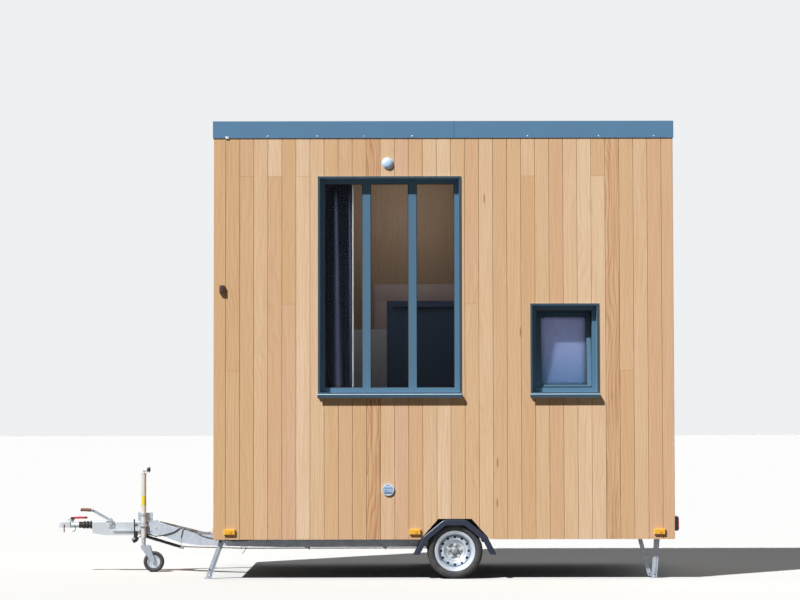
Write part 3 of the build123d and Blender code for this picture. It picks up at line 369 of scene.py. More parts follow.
def coat(name, colour, roughness, variation=0.12, grain=400.0, bump=0.1, dust=0.0, **shine):
    """A coated, moulded or cast surface."""
    sockets = {"Color": colour, "Variation": variation, "Roughness": roughness, "Grain": grain, "Dust": dust}
    return from_group(name, skin_group, sockets, bump, **shine)


def zinc(name, dark, light, scale=70.0, metallic=0.3):
    """Hot-dip zinc."""
    sockets = {"Scale": scale, "Dark": dark, "Light": light}
    return from_group(name, zinc_group, sockets, 0.12, metallic=metallic)


def wood(name, pale, straw, pink, dark, heart, roughness, specular):
    """Softwood boards in five colours."""
    colours = {"Pale": pale, "Straw": straw, "Pink": pink, "Dark": dark, "Heart": heart}
    return from_group(name, grain_group, {**colours, "Roughness": roughness}, 0.25, 0.0008, specular=specular)


def cloth(name, colour, painted_light_colour):
    """Woven cloth, with a second, painted light colour where its painted_light_share is high."""
    sockets = {"Colour": colour, "Faded": painted_light_colour}
    return from_group(name, weave_group, sockets, 0.3, 0.0004, "UV", specular=0.1, roughness=0.85)


# %% [markdown]
# The cladding is untreated softwood: cream, straw and pale pink boards side by side, with fine
# streaks and the odd reddish one from the heart of the log. Window metal, fascia and door share a
# satin coating in blue-grey and navy. The trailer is hot-dip zinc, its castings are greyer, and its
# mouldings are black plastic. Tyres and the wheel have picked up a little road dust.

# %% Materials
CEDAR = wood("cedar_boards", (0.80, 0.60, 0.415), (0.66, 0.42, 0.225), (0.70, 0.45, 0.30),
             (0.45, 0.24, 0.11), (0.40, 0.17, 0.075), 0.72, 0.3)
LINING = wood("lining_boards", (0.30, 0.195, 0.12), (0.25, 0.155, 0.09), (0.27, 0.16, 0.10),
              (0.15, 0.085, 0.045), (0.14, 0.07, 0.035), 0.5, 0.1)
COATED = coat("window_metal", (0.085, 0.172, 0.255), 0.42, 0.08, 900.0, 0.06, specular=0.2)
SURROUND = coat("surround_metal", (0.048, 0.084, 0.118), 0.36, 0.08, 900.0, 0.06, specular=0.15)
FASCIA = coat("fascia_metal", (0.088, 0.200, 0.338), 0.36, 0.14, 900.0, 0.05)
DOOR_PAINT = coat("door_paint", (0.030, 0.052, 0.11), 0.38, 0.08, 900.0, 0.06, specular=0.2)
MEMBRANE = coat("roof_membrane", (0.075, 0.078, 0.082), 0.75, 0.35, 220.0, 0.4)
ZINC = zinc("hot_dip_zinc", (0.31, 0.345, 0.40), (0.51, 0.56, 0.64))
TUBE_ZINC = zinc("tube_zinc", (0.50, 0.49, 0.47), (0.78, 0.75, 0.70), 110.0)
DECK_ZINC = zinc("deck_zinc", (0.30, 0.31, 0.32), (0.52, 0.53, 0.54))
CASTING = zinc("zinc_casting", (0.47, 0.505, 0.545), (0.67, 0.72, 0.76), 240.0, 0.5)
BRIGHT = zinc("bright_zinc", (0.55, 0.56, 0.57), (0.74, 0.75, 0.76), 300.0, 0.85)
BLACK_PLASTIC = coat("black_plastic", (0.009, 0.015, 0.036), 0.34, 0.3, 700.0, 0.12)
KNOB_BLACK = coat("knob_black", (0.014, 0.014, 0.015), 0.32, 0.2, 700.0)
RUBBER = coat("seal_rubber", (0.012, 0.012, 0.013), 0.65, 0.2, 500.0, 0.2)
TYRE = coat("tyre_rubber", (0.026, 0.027, 0.031), 0.72, 0.35, 520.0, 0.35, dust=0.3)
RED_PLASTIC = coat("red_plastic", (0.52, 0.045, 0.055), 0.38, 0.15, 500.0, dust=0.15)
GRIP_RED = coat("grip_brown_red", (0.20, 0.07, 0.045), 0.45, 0.2, 500.0)
WHEEL = coat("wheel_silver", (0.60, 0.66, 0.74), 0.34, 0.15, 600.0, 0.08, dust=0.25, metallic=0.55)
PALE_PLASTIC = coat("pale_plastic", (0.50, 0.65, 0.86), 0.45, 0.1, 500.0)
STEEL = coat("brushed_steel", (0.60, 0.60, 0.60), 0.32, 0.15, 500.0, metallic=0.95)
KNOB_BROWN = coat("knob_brown", (0.055, 0.022, 0.016), 0.35, 0.2, 500.0, 0.15)
YELLOW = coat("yellow_band", (0.72, 0.60, 0.06), 0.4, 0.1, 500.0, 0.05)
PLYWOOD = coat("floor_plywood", (0.10, 0.065, 0.04), 0.5, 0.3, 260.0, 0.2)
HUB_GREY = coat("hub_grey", (0.27, 0.30, 0.31), 0.5, 0.25, 300.0, metallic=0.3)
ROD_STEEL = coat("rod_steel", (0.13, 0.10, 0.07), 0.5, 0.25, 300.0, metallic=0.3)
AMBER = coat("amber_lens", (0.83, 0.43, 0.033), 0.22, 0.1, 60.0)
DEEP_AMBER = coat("amber_reflector", (0.82, 0.33, 0.02), 0.22, 0.1, 60.0)
RED_LENS = coat("red_lens", (0.42, 0.012, 0.012), 0.22, 0.1, 60.0)
PALE_LENS = coat("pale_lens", (0.74, 0.66, 0.65), 0.25, 0.1, 60.0)
CASING = coat("door_casing", (0.36, 0.27, 0.255), 0.5, 0.25, 60.0, 0.15, specular=0.1)
PANEL_GREY = coat("grey_panel", (0.46, 0.45, 0.48), 0.5, 0.15, 60.0, specular=0.1)
# The second colour of the navy curtain is its painted highlight.
DARK_CLOTH = cloth("curtain_navy", (0.005, 0.007, 0.014), (0.16, 0.165, 0.26))
# The screen's two colours are a painted reflection of the sky, lavender at the top and blue at the bottom.
SCREEN_CLOTH = cloth("screen_lavender", (0.50, 0.50, 0.84), (0.12, 0.23, 0.43))
TAPE = cloth("curtain_tape", (0.80, 0.78, 0.75), (0.86, 0.84, 0.80))

# The reveals and the tops of the sills get a painted sheen: faces of the surround metal that turn sideways
# or down are mixed a third of the way towards a pale blue, and faces that turn up are mixed fully, paler than
# the trim that faces outwards.
PAINTED_SHEEN_METAL = (0.44, 0.60, 0.72)
shader = next(node for node in SURROUND.node_tree.nodes if node.type == "BSDF_PRINCIPLED")
painted = Value(shader.inputs["Base Color"].links[0].from_socket)
facing = add(painted.tree, "SeparateXYZ", {0: add(painted.tree, "NewGeometry")["Normal"]})
turned_away = spread(facing[1].maths("ABSOLUTE"), 0.6, 0.9, 1.0, 0.0)
painted_sheen_upward = spread(facing[2], 0.3, 0.8, 0.35, 1.0)
fill(shader, {"Base Color": tint(turned_away * painted_sheen_upward, painted, PAINTED_SHEEN_METAL)})
print("materials", len(bpy.data.materials))

# %% [markdown]
# The panes are sealed units of clear glass, so their shader is plain transmission with little
# reflection. The sun stays outside, because a glass shader stops straight light, and a soft lamp
# inside the room stands for the daylight that a real room scatters.

# %% Glass, and daylight inside the room
GLASS, tree = new_material("window_glass")
glass = add(tree, "BsdfPrincipled", {
    "Base Color": (0.82, 0.86, 0.87), "Roughness": 0.0, "Transmission Weight": 1.0, "IOR": 1.45,
    "Specular Tint": (0.10, 0.12, 0.16),
})
add(tree, "OutputMaterial", {0: glass[0]})
room_data = bpy.data.lights.new("room_light", "AREA")
room_data.energy = 4.6
room_data.size = 0.5
room_data.spread = math.radians(100)
room_data.color = (1.0, 0.93, 0.86)
room_light = put("room_light", room_data)
room_light.location = (0.45, -0.55, 3.72)
room_light.rotation_euler = (math.radians(84), 0, 0)
room_light.visible_camera = False
print("room lamp", round(room_data.energy, 2), "W")

# %% [markdown]
# A piece of the frame comes as loose triangles, so a copy of it is merged before it is cut. A
# finished piece keeps its object at the origin, with its place in the mesh, so that the patterns on
# its surface stay where they are.

# %% Mesh helpers
MERGE = 1e-5
SMOOTH_ANGLE = math.radians(32)


def merged_copy(name):
    """A bmesh of a frame node with its triangles joined."""
    bm = bmesh.new()
    bm.from_mesh(nodes[name].data)
    bmesh.ops.remove_doubles(bm, verts=bm.verts, dist=MERGE)
    return bm


def clip(bm, point, normal):
    """Cuts away what lies beyond a plane, and closes the cut."""
    geom = bm.verts[:] + bm.edges[:] + bm.faces[:]
    bmesh.ops.bisect_plane(bm, geom=geom, dist=1e-6, plane_co=point, plane_no=normal, clear_outer=True)
    bmesh.ops.holes_fill(bm, edges=[e for e in bm.edges if e.is_boundary], sides=0)


def flatten(bm):
    """Joins the triangles of each flat face, and turns all faces outwards."""
    bmesh.ops.dissolve_limit(bm, angle_limit=math.radians(0.5), verts=bm.verts, edges=bm.edges)
    bmesh.ops.recalc_face_normals(bm, faces=bm.faces)


def closed(bm):
    """Joins doubled points and turns all faces outwards."""
    bmesh.ops.remove_doubles(bm, verts=bm.verts, dist=MERGE)
    bmesh.ops.recalc_face_normals(bm, faces=bm.faces)
    return bm


def soften(bm, edges, width, segments=1):
    """A small chamfer or round on some edges."""
    if edges:
        bmesh.ops.bevel(
            bm, geom=edges, offset=width, segments=segments, affect="EDGES", profile=0.5, material=-1,
            clamp_overlap=True,
        )


def finish_piece(name, bm, body, material, replaces=(), smooth=True):
    """Makes an object of a bmesh, gives it its finish and lets it ride on a body."""
    mesh = bpy.data.meshes.new(name)
    bm.to_mesh(mesh)
    bm.free()
    mesh.materials.append(material)
    if smooth:
        mesh.shade_smooth()
        mesh.set_sharp_from_angle(angle=SMOOTH_ANGLE)
    piece = put(name, mesh)
    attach(piece, body)
    if replaces:
        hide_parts(*replaces)
    return piece


def build(name, body, material, slot, *shapes, replaces=(), smooth=True):
    """A piece made of shapes. Each shape is a function below with what it takes."""
    bm = bmesh.new()
    for shape, *details in shapes:
        shape(bm, *details)
    return finish_piece(name, closed(bm), body, material, replaces, smooth)


def dress(material, *starts):
    """Gives a finish to the frame nodes whose names start so."""
    for name in nodes:
        for holder in nodes[name].material_slots if name.startswith(starts) else ():
            holder.material = material


# %% [markdown]
# Screws, sleeves, bars and sheets are small, but they catch the light. They could be put together
# in the editor, but each follows from a box, a lathe outline, a section that is drawn out, or a
# wire that is bent through points. Soft edges matter most, because a sharp one never shines.

# %% Shapes
def block(bm, low, high, width=0.0):
    """A box between two corners, with its edges softened."""
    low, high = Vector(low), Vector(high)
    size = Matrix.Diagonal((*(high - low), 1))
    made = bmesh.ops.create_cube(bm, size=1.0, matrix=Matrix.Translation((low + high) / 2) @ size)
    if width:
        soften(bm, list({e for v in made["verts"] for e in v.link_edges}), width, 2)


def turned(bm, origin, axis, outline, steps):
    """A piece turned on a lathe. The outline is pairs of distance along the axis and radius."""
    axis = Vector(axis).normalized()
    side = axis.orthogonal().normalized()
    origin = Vector(origin)
    verts = [bm.verts.new(origin + axis * along + side * radius) for along, radius in outline]
    edges = [bm.edges.new(pair) for pair in zip(verts, verts[1:])]
    bmesh.ops.spin(
        bm, geom=verts + edges, cent=origin, axis=axis, angle=2 * math.pi, steps=steps, use_merge=True,
    )


def draw_out(bm, faces, run):
    """Draws faces out along a run."""
    drawn = bmesh.ops.extrude_face_region(bm, geom=faces)["geom"]
    bmesh.ops.translate(bm, verts=[v for v in drawn if isinstance(v, bmesh.types.BMVert)], vec=run)


def prism(bm, x, outline, length):
    """A solid of even section along X. The outline is pairs of Y and Z."""
    draw_out(bm, [bm.faces.new([bm.verts.new((x, y, z)) for y, z in outline])], (length, 0, 0))


def dome(bm, place, axis, radius, height):
    """A round screw head."""
    turned(bm, place, axis, [(0.0, radius), (height * 0.6, radius * 0.85), (height, radius * 0.3)], 10)


def bolt(bm, place, axis, radius, height):
    """A hexagon head on a washer."""
    washer, thin, chamfer = radius * 1.35, height * 0.2, 0.85
    turned(bm, place, axis, [(0.0, washer), (thin, washer), (thin, radius)], 12)
    head = [(0.0, radius), (height * chamfer, radius), (height, radius * chamfer), (height, 0.0)]
    turned(bm, place, axis, head, 6)


def wire(bm, points, radius, sides=6):
    """A bent wire through some points."""
    points = [Vector(p) for p in points]
    rings = []
    for i, point in enumerate(points):
        before, after = points[max(i - 1, 0)], points[min(i + 1, len(points) - 1)]
        run = (after - before).normalized()
        across = run.orthogonal().normalized()
        if rings:
            old = rings[-1][0].co - points[i - 1]
            across = (old - run * old.dot(run)).normalized()
        up = run.cross(across)
        rings.append([
            bm.verts.new(point + radius * (across * math.cos(a) + up * math.sin(a)))
            for a in (2 * math.pi * k / sides for k in range(sides))
        ])
    for one, other in zip(rings, rings[1:]):
        for k in range(sides):
            after = (k + 1) % sides
            bm.faces.new((one[k], one[after], other[after], other[k]))
    bm.faces.new(rings[0])
    bm.faces.new(rings[-1])


# %% [markdown]
# One node of the frame may hold several loose parts, such as the markers on both sides. A piece
# that sits on them takes its place from the box of each part, and one that only needs another
# colour or softer edges is cut out of the node. So no place is typed twice.

# %% Parts of a node
def island_boxes(name):
    """The box of each loose part of a frame node, from left to right."""
    bm = merged_copy(name)
    left = set(bm.verts)
    boxes = []
    while left:
        group, edge = [], [left.pop()]
        while edge:
            vert = edge.pop()
            group.append(vert.co)
            near = {e.other_vert(vert) for e in vert.link_edges} & left
            left -= near
            edge += near
        boxes.append(tuple(Vector(pick(co[i] for co in group) for i in range(3)) for pick in (min, max)))
    bm.free()
    return sorted(boxes, key=lambda pair: (round(pair[0].x, 2), pair[0].y))


def outer(low, high):
    """Which way a piece on one side of the trailer faces, as 1 or -1, and the Y of its outer face."""
    return (1, high.y) if low.y > 0 else (-1, low.y)


def only(name, test):
    """Those loose parts of a frame node whose points pass a test."""
    bm = merged_copy(name)
    bmesh.ops.delete(bm, geom=[v for v in bm.verts if not test(v.co)], context="VERTS")
    flatten(bm)
    return bm


# %% [markdown]
# Each board is cut from the frame's own skin between two planes, so that the window openings and the
# wheel arch come out right by themselves. A thin gap stays between neighbours, and their long edges
# are chamfered, which gives the fine V line of tongue-and-groove boards. Some boards are two lengths
# butted together, as on the real wall.

# %% Cladding boards
random.seed(11)
CORNER_BOARD = 0.113
BOARD = 0.13016
GAP = 0.0022
CHAMFER = 0.0026
BUTT_GAP = 0.0012
HIGH_BUTT = 3.722
MIDDLE_BUTT = 2.536
LOW_BUTT = 1.917
END_BOARDS = 19


def cut_boards(node, axis, joints, butts, hearts):
    """All boards of one wall in one bmesh, with their number, tone and heart wood on the faces."""
    low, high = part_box(node)
    whole = bmesh.new()
    layers = {name: whole.faces.layers.float.new(name) for name in ("board", "tone", "heart")}
    direction = Vector((axis == 0, axis == 1, 0))
    places = [low[axis], *joints, high[axis]]
    count = 0
    for start, end in zip(places, places[1:]):
        first = start if start == low[axis] else start + GAP / 2
        last = end if end == high[axis] else end - GAP / 2
        levels = [low.z, *sorted(z for at, z in butts if start < at < end), high.z]
        for bottom, top in zip(levels, levels[1:]):
            bm = merged_copy(node)
            clip(bm, direction * first, -direction)
            clip(bm, direction * last, direction)
            if bottom > low.z:
                clip(bm, (0, 0, bottom + BUTT_GAP / 2), (0, 0, -1))
            if top < high.z:
                clip(bm, (0, 0, top - BUTT_GAP / 2), (0, 0, 1))
            flatten(bm)
            soften(bm, [
                e for e in bm.edges if abs(e.verts[0].co.z - e.verts[1].co.z) > 0.05
                and any(all(abs(v.co[axis] - cut) < MERGE for v in e.verts) for cut in (first, last))
            ], CHAMFER)
            seed, tone = random.random(), random.random()
            heart = max((strength for at, z0, z1, strength in hearts
                         if start < at < end and bottom < z1 and top > z0), default=0.0)
            mesh = bpy.data.meshes.new("board")
            bm.to_mesh(mesh)
            bm.free()
            before = len(whole.faces)
            whole.from_mesh(mesh)
            bpy.data.meshes.remove(mesh)
            whole.faces.ensure_lookup_table()
            for face in whole.faces[before:]:
                for layer, value in zip(layers.values(), (seed, tone, heart)):
                    face[layer] = value
            count += 1
    print(node, count, "boards", len(whole.faces), "faces")
    return whole


low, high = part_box("cladding_left")
side_joints = [low.x + CORNER_BOARD]
while side_joints[-1] + BOARD < high.x - 0.05:
    side_joints.append(side_joints[-1] + BOARD)
side_butts = [
    (-1.04, HIGH_BUTT), (-0.78, HIGH_BUTT), (-0.52, HIGH_BUTT), (1.56, HIGH_BUTT), (2.21, HIGH_BUTT),
    (-0.65, MIDDLE_BUTT), (1.04, MIDDLE_BUTT), (2.46, LOW_BUTT), (-1.17, LOW_BUTT),
]
far_butts = [(x + 0.26, z) for x, z in side_butts]
side_hearts = [(0.13, 3.7, 4.1, 0.75), (2.33, 0.3, 4.1, 0.55), (-1.17, 0.3, 4.1, 0.12)]
low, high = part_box("cladding_ends")
end_joints = [low.y + (high.y - low.y) / END_BOARDS * i for i in range(1, END_BOARDS)]
end_butts = [(-0.78, HIGH_BUTT), (0.0, MIDDLE_BUTT), (0.53, HIGH_BUTT), (0.9, LOW_BUTT)]
for side, axis, joints, butts, hearts in (
    ("left", 0, side_joints, side_butts, side_hearts),
    ("right", 0, side_joints, far_butts, [(1.6, 0.3, 4.1, 0.5)]),
    ("ends", 1, end_joints, end_butts, [(0.4, 0.3, 4.1, 0.4)]),
):
    boards = cut_boards("cladding_" + side, axis, joints, butts, hearts)
    finish_piece("boards_" + side, boards, "house", CEDAR, ["cladding_" + side], False)

# %% [markdown]
# Every piece of the frame gets its finish, by the start of its name. A later line wins over an
# earlier one. Those that this script replaces get one too, as a start.

# %% Dress the frame
dress(COATED, "window_frames")
dress(SURROUND, "large_window", "small_window")
dress(GLASS, "window_glass")
dress(FASCIA, "fascia")
dress(LINING, "wall_", "roof")
dress(MEMBRANE, "roof_cover")
dress(PLYWOOD, "floor")
dress(STEEL, "door_handle", "door_hinges", "curtain_rails")
dress(DOOR_PAINT, "door_leaf", "door_frame")
dress(PALE_PLASTIC, "wall_fittings")
dress(BLACK_PLASTIC, "mudguard_", "end_lamps")
dress(AMBER, "side_markers")
dress(DECK_ZINC, "deck_", "edge_rails")
dress(ZINC, "drawbar_", "axle", "rod_hangers", "handbrake_lever", "jockey_", "leg_", "brace_")
dress(TUBE_ZINC, "jockey_outer_tube")
dress(CASTING, "overrun_housing", "drawtube")
dress(WHEEL, "jockey_rim", "rim_")
dress(TYRE, "tyre_", "jockey_tyre")
dress(ROD_STEEL, "brake_rod")
dress(RED_PLASTIC, "coupling_handle")
dress(KNOB_BLACK, "lead")
dress(RUBBER, "gaiter")
print("dressed", len(nodes), "nodes")

# %% [markdown]
# A dark rubber seal runs round every pane, and a second one lies in the joint between the sash and
# the frame of the shut window. Each is a rectangle that is inset, emptied and drawn out. The sash on
# the photographed side stands tilted open, so its seals are made upright and turned with it.

# %% Window seals
SEAL_WIDTH = 0.006
SEAL_PROUD = 0.003
SASH_MEMBER = 0.040
SASH_FACE = 0.006
SASH_GAP = 0.003
SASH_TILT = math.radians(11)
SILL_SHARE = 0.4


def ring(bm, low, high, y, proud):
    """A rectangular band in an upright plane, drawn out by proud along Y. The corners are X and Z."""
    middle = Matrix.Translation(((low[0] + high[0]) / 2, y, (low[1] + high[1]) / 2))
    size = Matrix.Diagonal(((high[0] - low[0]) / 2, (high[1] - low[1]) / 2, 1, 1))
    place = middle @ Matrix.Rotation(math.pi / 2, 4, "X") @ size
    made = bmesh.ops.create_grid(bm, x_segments=1, y_segments=1, size=1.0, matrix=place)
    face = made["verts"][0].link_faces[0]
    band = bmesh.ops.inset_region(
        bm, faces=[face], thickness=SEAL_WIDTH, use_boundary=True, use_even_offset=True)["faces"]
    bmesh.ops.delete(bm, geom=[face], context="FACES_ONLY")
    draw_out(bm, band, (0, proud, 0))


def pane_seals(bm, low, high):
    """The seals on both faces of an upright pane."""
    out, face = outer(low, high)
    corners = (low.x, low.z), (high.x, high.z)
    ring(bm, *corners, face, out * SEAL_PROUD)
    ring(bm, *corners, low.y + high.y - face, -out * SEAL_PROUD)


def tilt(bm):
    """Turns a piece of the sash from shut to tilted open."""
    bm.transform(SASH_TURN)


panes = island_boxes("window_glass")
low, high = next(pair for pair in panes if pair[0].y > 0)
open_pane = Vector((low.x + SASH_GAP, -high.y, low.z)), Vector((high.x - SASH_GAP, -low.y, high.z))
SASH_HINGE = Vector((0, open_pane[1].y + 0.012, open_pane[0].z - SILL_SHARE * SASH_MEMBER - 0.001))
to_hinge = Matrix.Translation(SASH_HINGE)
SASH_TURN = to_hinge @ Matrix.Rotation(-SASH_TILT, 4, "X") @ to_hinge.inverted()
seals = bmesh.new()
pane_seals(seals, *open_pane)
tilt(seals)
for low, high in panes:
    if high.y < 0 and low.x > 1:
        continue
    pane_seals(seals, low, high)
    out, face = outer(low, high)
    if out > 0:
        around = SASH_MEMBER + SEAL_WIDTH / 2
        ring(seals, (low.x - around, low.z - SILL_SHARE * SASH_MEMBER - SEAL_WIDTH / 2),
             (high.x + around, high.z + around), face + SASH_FACE, SEAL_PROUD)
bmesh.ops.recalc_face_normals(seals, faces=seals.faces)
print("panes", len(panes))
finish_piece("window_seals", seals, "house", RUBBER)

# %% [markdown]
# The curtain by the large window is a grid of points, laid into pleats by a wave that wanders a
# little from top to bottom and is deeper at the hem than at the heading. It could be draped as a
# simulated cloth, but it hangs still, and a wave always comes out the same. Two bands of it carry a
# painted highlight, a paler colour that widens towards the hem and fades out below the heading, and
# it has a white edge tape.

# %% Curtains
CLOTH_THICKNESS = 0.0012
PLEATS = 5
PLEAT_DEPTH = 0.0195
CLOTH_EDGE = 0.004
TAPE_WIDTH = 0.016
# Each painted highlight: its place across the curtain, its width and its strength.
PAINTED_HIGHLIGHTS = ((0.60, 0.055, 1.0), (0.93, 0.035, 0.7))


def cloth_piece(name, cells, length, material, lay):
    """A cloth of a grid of points, which the function lay puts in place and gives their share of painted
    light.
    """
    bm = bmesh.new()
    bmesh.ops.create_grid(bm, x_segments=cells[0], y_segments=cells[1], size=0.5)
    uv = bm.loops.layers.uv.new("cloth")
    painted_light_share = bm.verts.layers.float.new("painted_light_share")
    for vert in bm.verts:
        across, up = vert.co.x + 0.5, vert.co.y + 0.5
        for loop in vert.link_loops:
            loop[uv].uv = (across, up)
        vert.co, vert[painted_light_share] = lay(across, up)
    area = sum(face.calc_area() for face in bm.faces)
    bmesh.ops.recalc_face_normals(bm, faces=bm.faces)
    if sum(face.normal.y for face in bm.faces) > 0:
        bmesh.ops.reverse_faces(bm, faces=bm.faces)
    cloth = finish_piece(name, bm, "house", material, ["curtains"])
    thick = cloth.modifiers.new("thickness", "SOLIDIFY")
    thick.thickness = CLOTH_THICKNESS
    thick.offset = 0.0
    flat = (round(area / length, 3), round(length, 3))
    print(name, "cut", flat)


def pleated(across, up):
    """A point of the curtain, and how much painted highlight it carries."""
    drift = noise.noise(Vector((across * 3.1, up * 1.7, 4.0)))
    wave = math.sin(2 * math.pi * (PLEATS * across + 0.16 * drift + 0.25))
    small = 0.18 * math.sin(2 * math.pi * (PLEATS * 2.3 * across + 0.4 * drift))
    # The painted highlight fades out below the heading.
    highlight_taper = min(1.0, max(0.0, (0.92 - up) / 0.1))
    painted_highlight = highlight_taper * sum(
        strength * math.exp(-((across - at - 0.06 * (0.5 - up)) / (wide * (1.25 - 0.75 * up))) ** 2)
        for at, wide, strength in PAINTED_HIGHLIGHTS
    )
    return Vector((
        low.x + CLOTH_EDGE + across * (high.x - low.x - 2 * CLOTH_EDGE),
        (low.y + high.y) / 2 + PLEAT_DEPTH * (1 - 0.45 * up) * (wave + small) / 1.18,
        low.z + up * (high.z - low.z),
    )), min(1.0, painted_highlight)


(low, high), screen_box = island_boxes("curtains")
cloth_piece(
    "curtain_large", (22 * PLEATS, 48), high.z - low.z, DARK_CLOTH, pleated,
)
build("curtain_edge_tape", "house", TAPE, "curtain_cloth", (
    block, (high.x - TAPE_WIDTH, low.y + 0.004, low.z), (high.x - 0.002, low.y + 0.007, high.z), 0.001,
))

# %% [markdown]
# A plain screen cloth is stretched over the tilted sash between two slim bars. It is laid flat by
# the same helper as the curtain, so that it gets the same weave and thickness, and then turned with
# the sash. Its colour runs from lavender at the top to blue at the bottom, a painted reflection of
# the sky in the tilted pane.

# %% Screen on the tilted sash
SCREEN_OVERLAP = 0.012
SCREEN_DEPTH = 0.004
BAR_HEIGHT = 0.014
left, right = screen_box[0].x, screen_box[1].x
bottom, top = open_pane[0].z - SCREEN_OVERLAP, open_pane[1].z + SCREEN_OVERLAP
back = SASH_HINGE.y


def stretched_flat(across, up):
    """A point of the screen, and its share of the painted reflection colour, which is greatest at the bottom.
    """
    flat = Vector((left + across * (right - left), back + SCREEN_DEPTH / 2, bottom + up * (top - bottom)))
    return SASH_TURN @ flat, 1 - up


cloth_piece(
    "sash_screen", (6, 12), top - bottom, SCREEN_CLOTH, stretched_flat,
)
bars = [(block, (left, back, z), (right, back + 3 * SCREEN_DEPTH, z + BAR_HEIGHT), 0.0015)
        for z in (bottom, top - BAR_HEIGHT)]
build("screen_bars", "house", PALE_PLASTIC, "curtain_cloth", *bars, (tilt,))

# %% [markdown]
# The room is lined with planed boards, which show through the panes as brown uprights. On the far
# wall a flat casing frames the entrance door, with a deep head board, and a low grey panel stands
# to the left of it. They are seen only through glass, so boxes with soft edges will do.

# %% Door casing and panel inside the room
CASING_THICKNESS = 0.016
CASING_HEAD = 0.17
CASING_SIDE = 0.125
CASING_EDGE = 0.002
PANEL_TOP = 2.38
PANEL_THICKNESS = 0.022
PANEL_REACH = 0.9
low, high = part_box("door_frame")
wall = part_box("wall_right")[0].y
face = wall - CASING_THICKNESS
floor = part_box("floor")[1].z
left, right = low.x - CASING_SIDE, high.x + CASING_SIDE
build(
    "door_casing", "house", CASING, "lining",
    (block, (left, face, high.z), (right, wall, high.z + CASING_HEAD), CASING_EDGE),
    (block, (left, face, floor), (low.x, wall, high.z - 0.001), CASING_EDGE),
    (block, (high.x, face, floor), (right, wall, high.z - 0.001), CASING_EDGE),
)
panel = (low.x - PANEL_REACH, wall - PANEL_THICKNESS, floor), (low.x, wall, PANEL_TOP)
build("wall_panel", "house", PANEL_GREY, "lining", (block, *panel, CASING_EDGE))
print("casing", round(right - left, 3), "m wide, panel", PANEL_REACH, "m")

# %% [markdown]
# A folded sheet lies on each sill and ends in a drip edge that stands clear of the boards, so that
# it throws a deeper shadow. The real one is a strip with the same folds all along, so one section
# is drawn out to the length of each window.

# %% Sill sheets
SILL_BACK = 0.0015
SILL_NOSE = 0.022
SILL_TOP = 0.0505
SILL_SHEET = 0.0025
SILL_FACE = 0.0275
SILL_DRIP = 0.003
SILL_OVER = 0.004
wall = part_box("window_frames")[1].y
sills = []
for node in ("large_window_surround", "small_window_surrounds"):
    for low, high in island_boxes(node):
        out, face = outer(low, high)
        back, nose = out * (wall + SILL_BACK), face + out * SILL_NOSE
        inner = nose - out * SILL_SHEET
        top, edge, drip = low.z + SILL_TOP, low.z + SILL_FACE, low.z - SILL_DRIP
        sills.append((prism, low.x - SILL_OVER, [
            (back, top), (nose, edge), (nose, drip), (inner, drip), (inner, edge - SILL_SHEET),
            (back, top - SILL_SHEET),
        ], high.x - low.x + 2 * SILL_OVER))
print("sill sheets", len(sills))
# The sill sheets carry the surround metal's painted sheen on their tops.
build("sill_sheets", "house", SURROUND, "window_metal", *sills, smooth=False)

# %% [markdown]
# The fascia is two lengths of sheet with a joint, screwed along its lower edge, and strips cover
# the laps of the roof membrane. The joint is a black strip a hair proud of the sheet, painted shade
# that stands for the gap, which is simpler than cutting one.

# %% Fascia joint, screws and clip, and laps of the roof membrane
FASCIA_JOINT = 0.875
JOINT_WIDTH = 0.003
JOINT_PROUD = 0.0006
SCREW_RADIUS = 0.0065
SCREW_HEIGHT = 0.004
SCREW_RISE = 0.017
END_SCREWS = 5
CLIP = (-1.240, -1.212)
LAP = 0.06
LAP_COUNT = 4
low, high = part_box("fascia")
build("fascia_joints", "house", RUBBER, "fascia_metal", *[
    (block, (FASCIA_JOINT, y - JOINT_PROUD, low.z), (FASCIA_JOINT + JOINT_WIDTH, y + JOINT_PROUD, high.z))
    for y in (low.y, high.y)
], smooth=False)
ends = [low.y + (i + 0.5) * (high.y - low.y) / END_SCREWS for i in range(END_SCREWS)]
screws = [
    (x, y, out) for x in (-0.85, -0.39, 0.04, 0.488, 1.56, 2.22, 2.73)
    for y, out in ((low.y, (0, -1, 0)), (high.y, (0, 1, 0)))
] + [(x, y, out) for y in ends for x, out in ((low.x, (-1, 0, 0)), (high.x, (1, 0, 0)))]
build("fascia_screws", "house", BRIGHT, "fascia_metal", *[
    (dome, (x, y, low.z + SCREW_RISE), out, SCREW_RADIUS, SCREW_HEIGHT) for x, y, out in screws
], (block, (CLIP[0], low.y - 0.004, low.z - 0.006), (CLIP[1], low.y + 0.001, low.z + 0.014), 0.001))
low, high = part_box("roof_cover")
laps = [low.x + i * (high.x - low.x) / LAP_COUNT for i in range(1, LAP_COUNT)]
build("roof_laps", "house", MEMBRANE, "roof_membrane", *[
    (block, (x, low.y, high.z), (x + LAP, high.y, high.z + 0.002), 0.001) for x in laps
], smooth=False)
print("screws", len(screws), "laps", len(laps))

# %% [markdown]
# The upper vent is a shallow dome with a turned rim, so a lathe outline replaces the plain one. The
# lower one is a disc with louvres, and the dark knob by the corner is a rounded block on a plate.
# Those two are right in the frame already, and are only cut out to get a finish each.

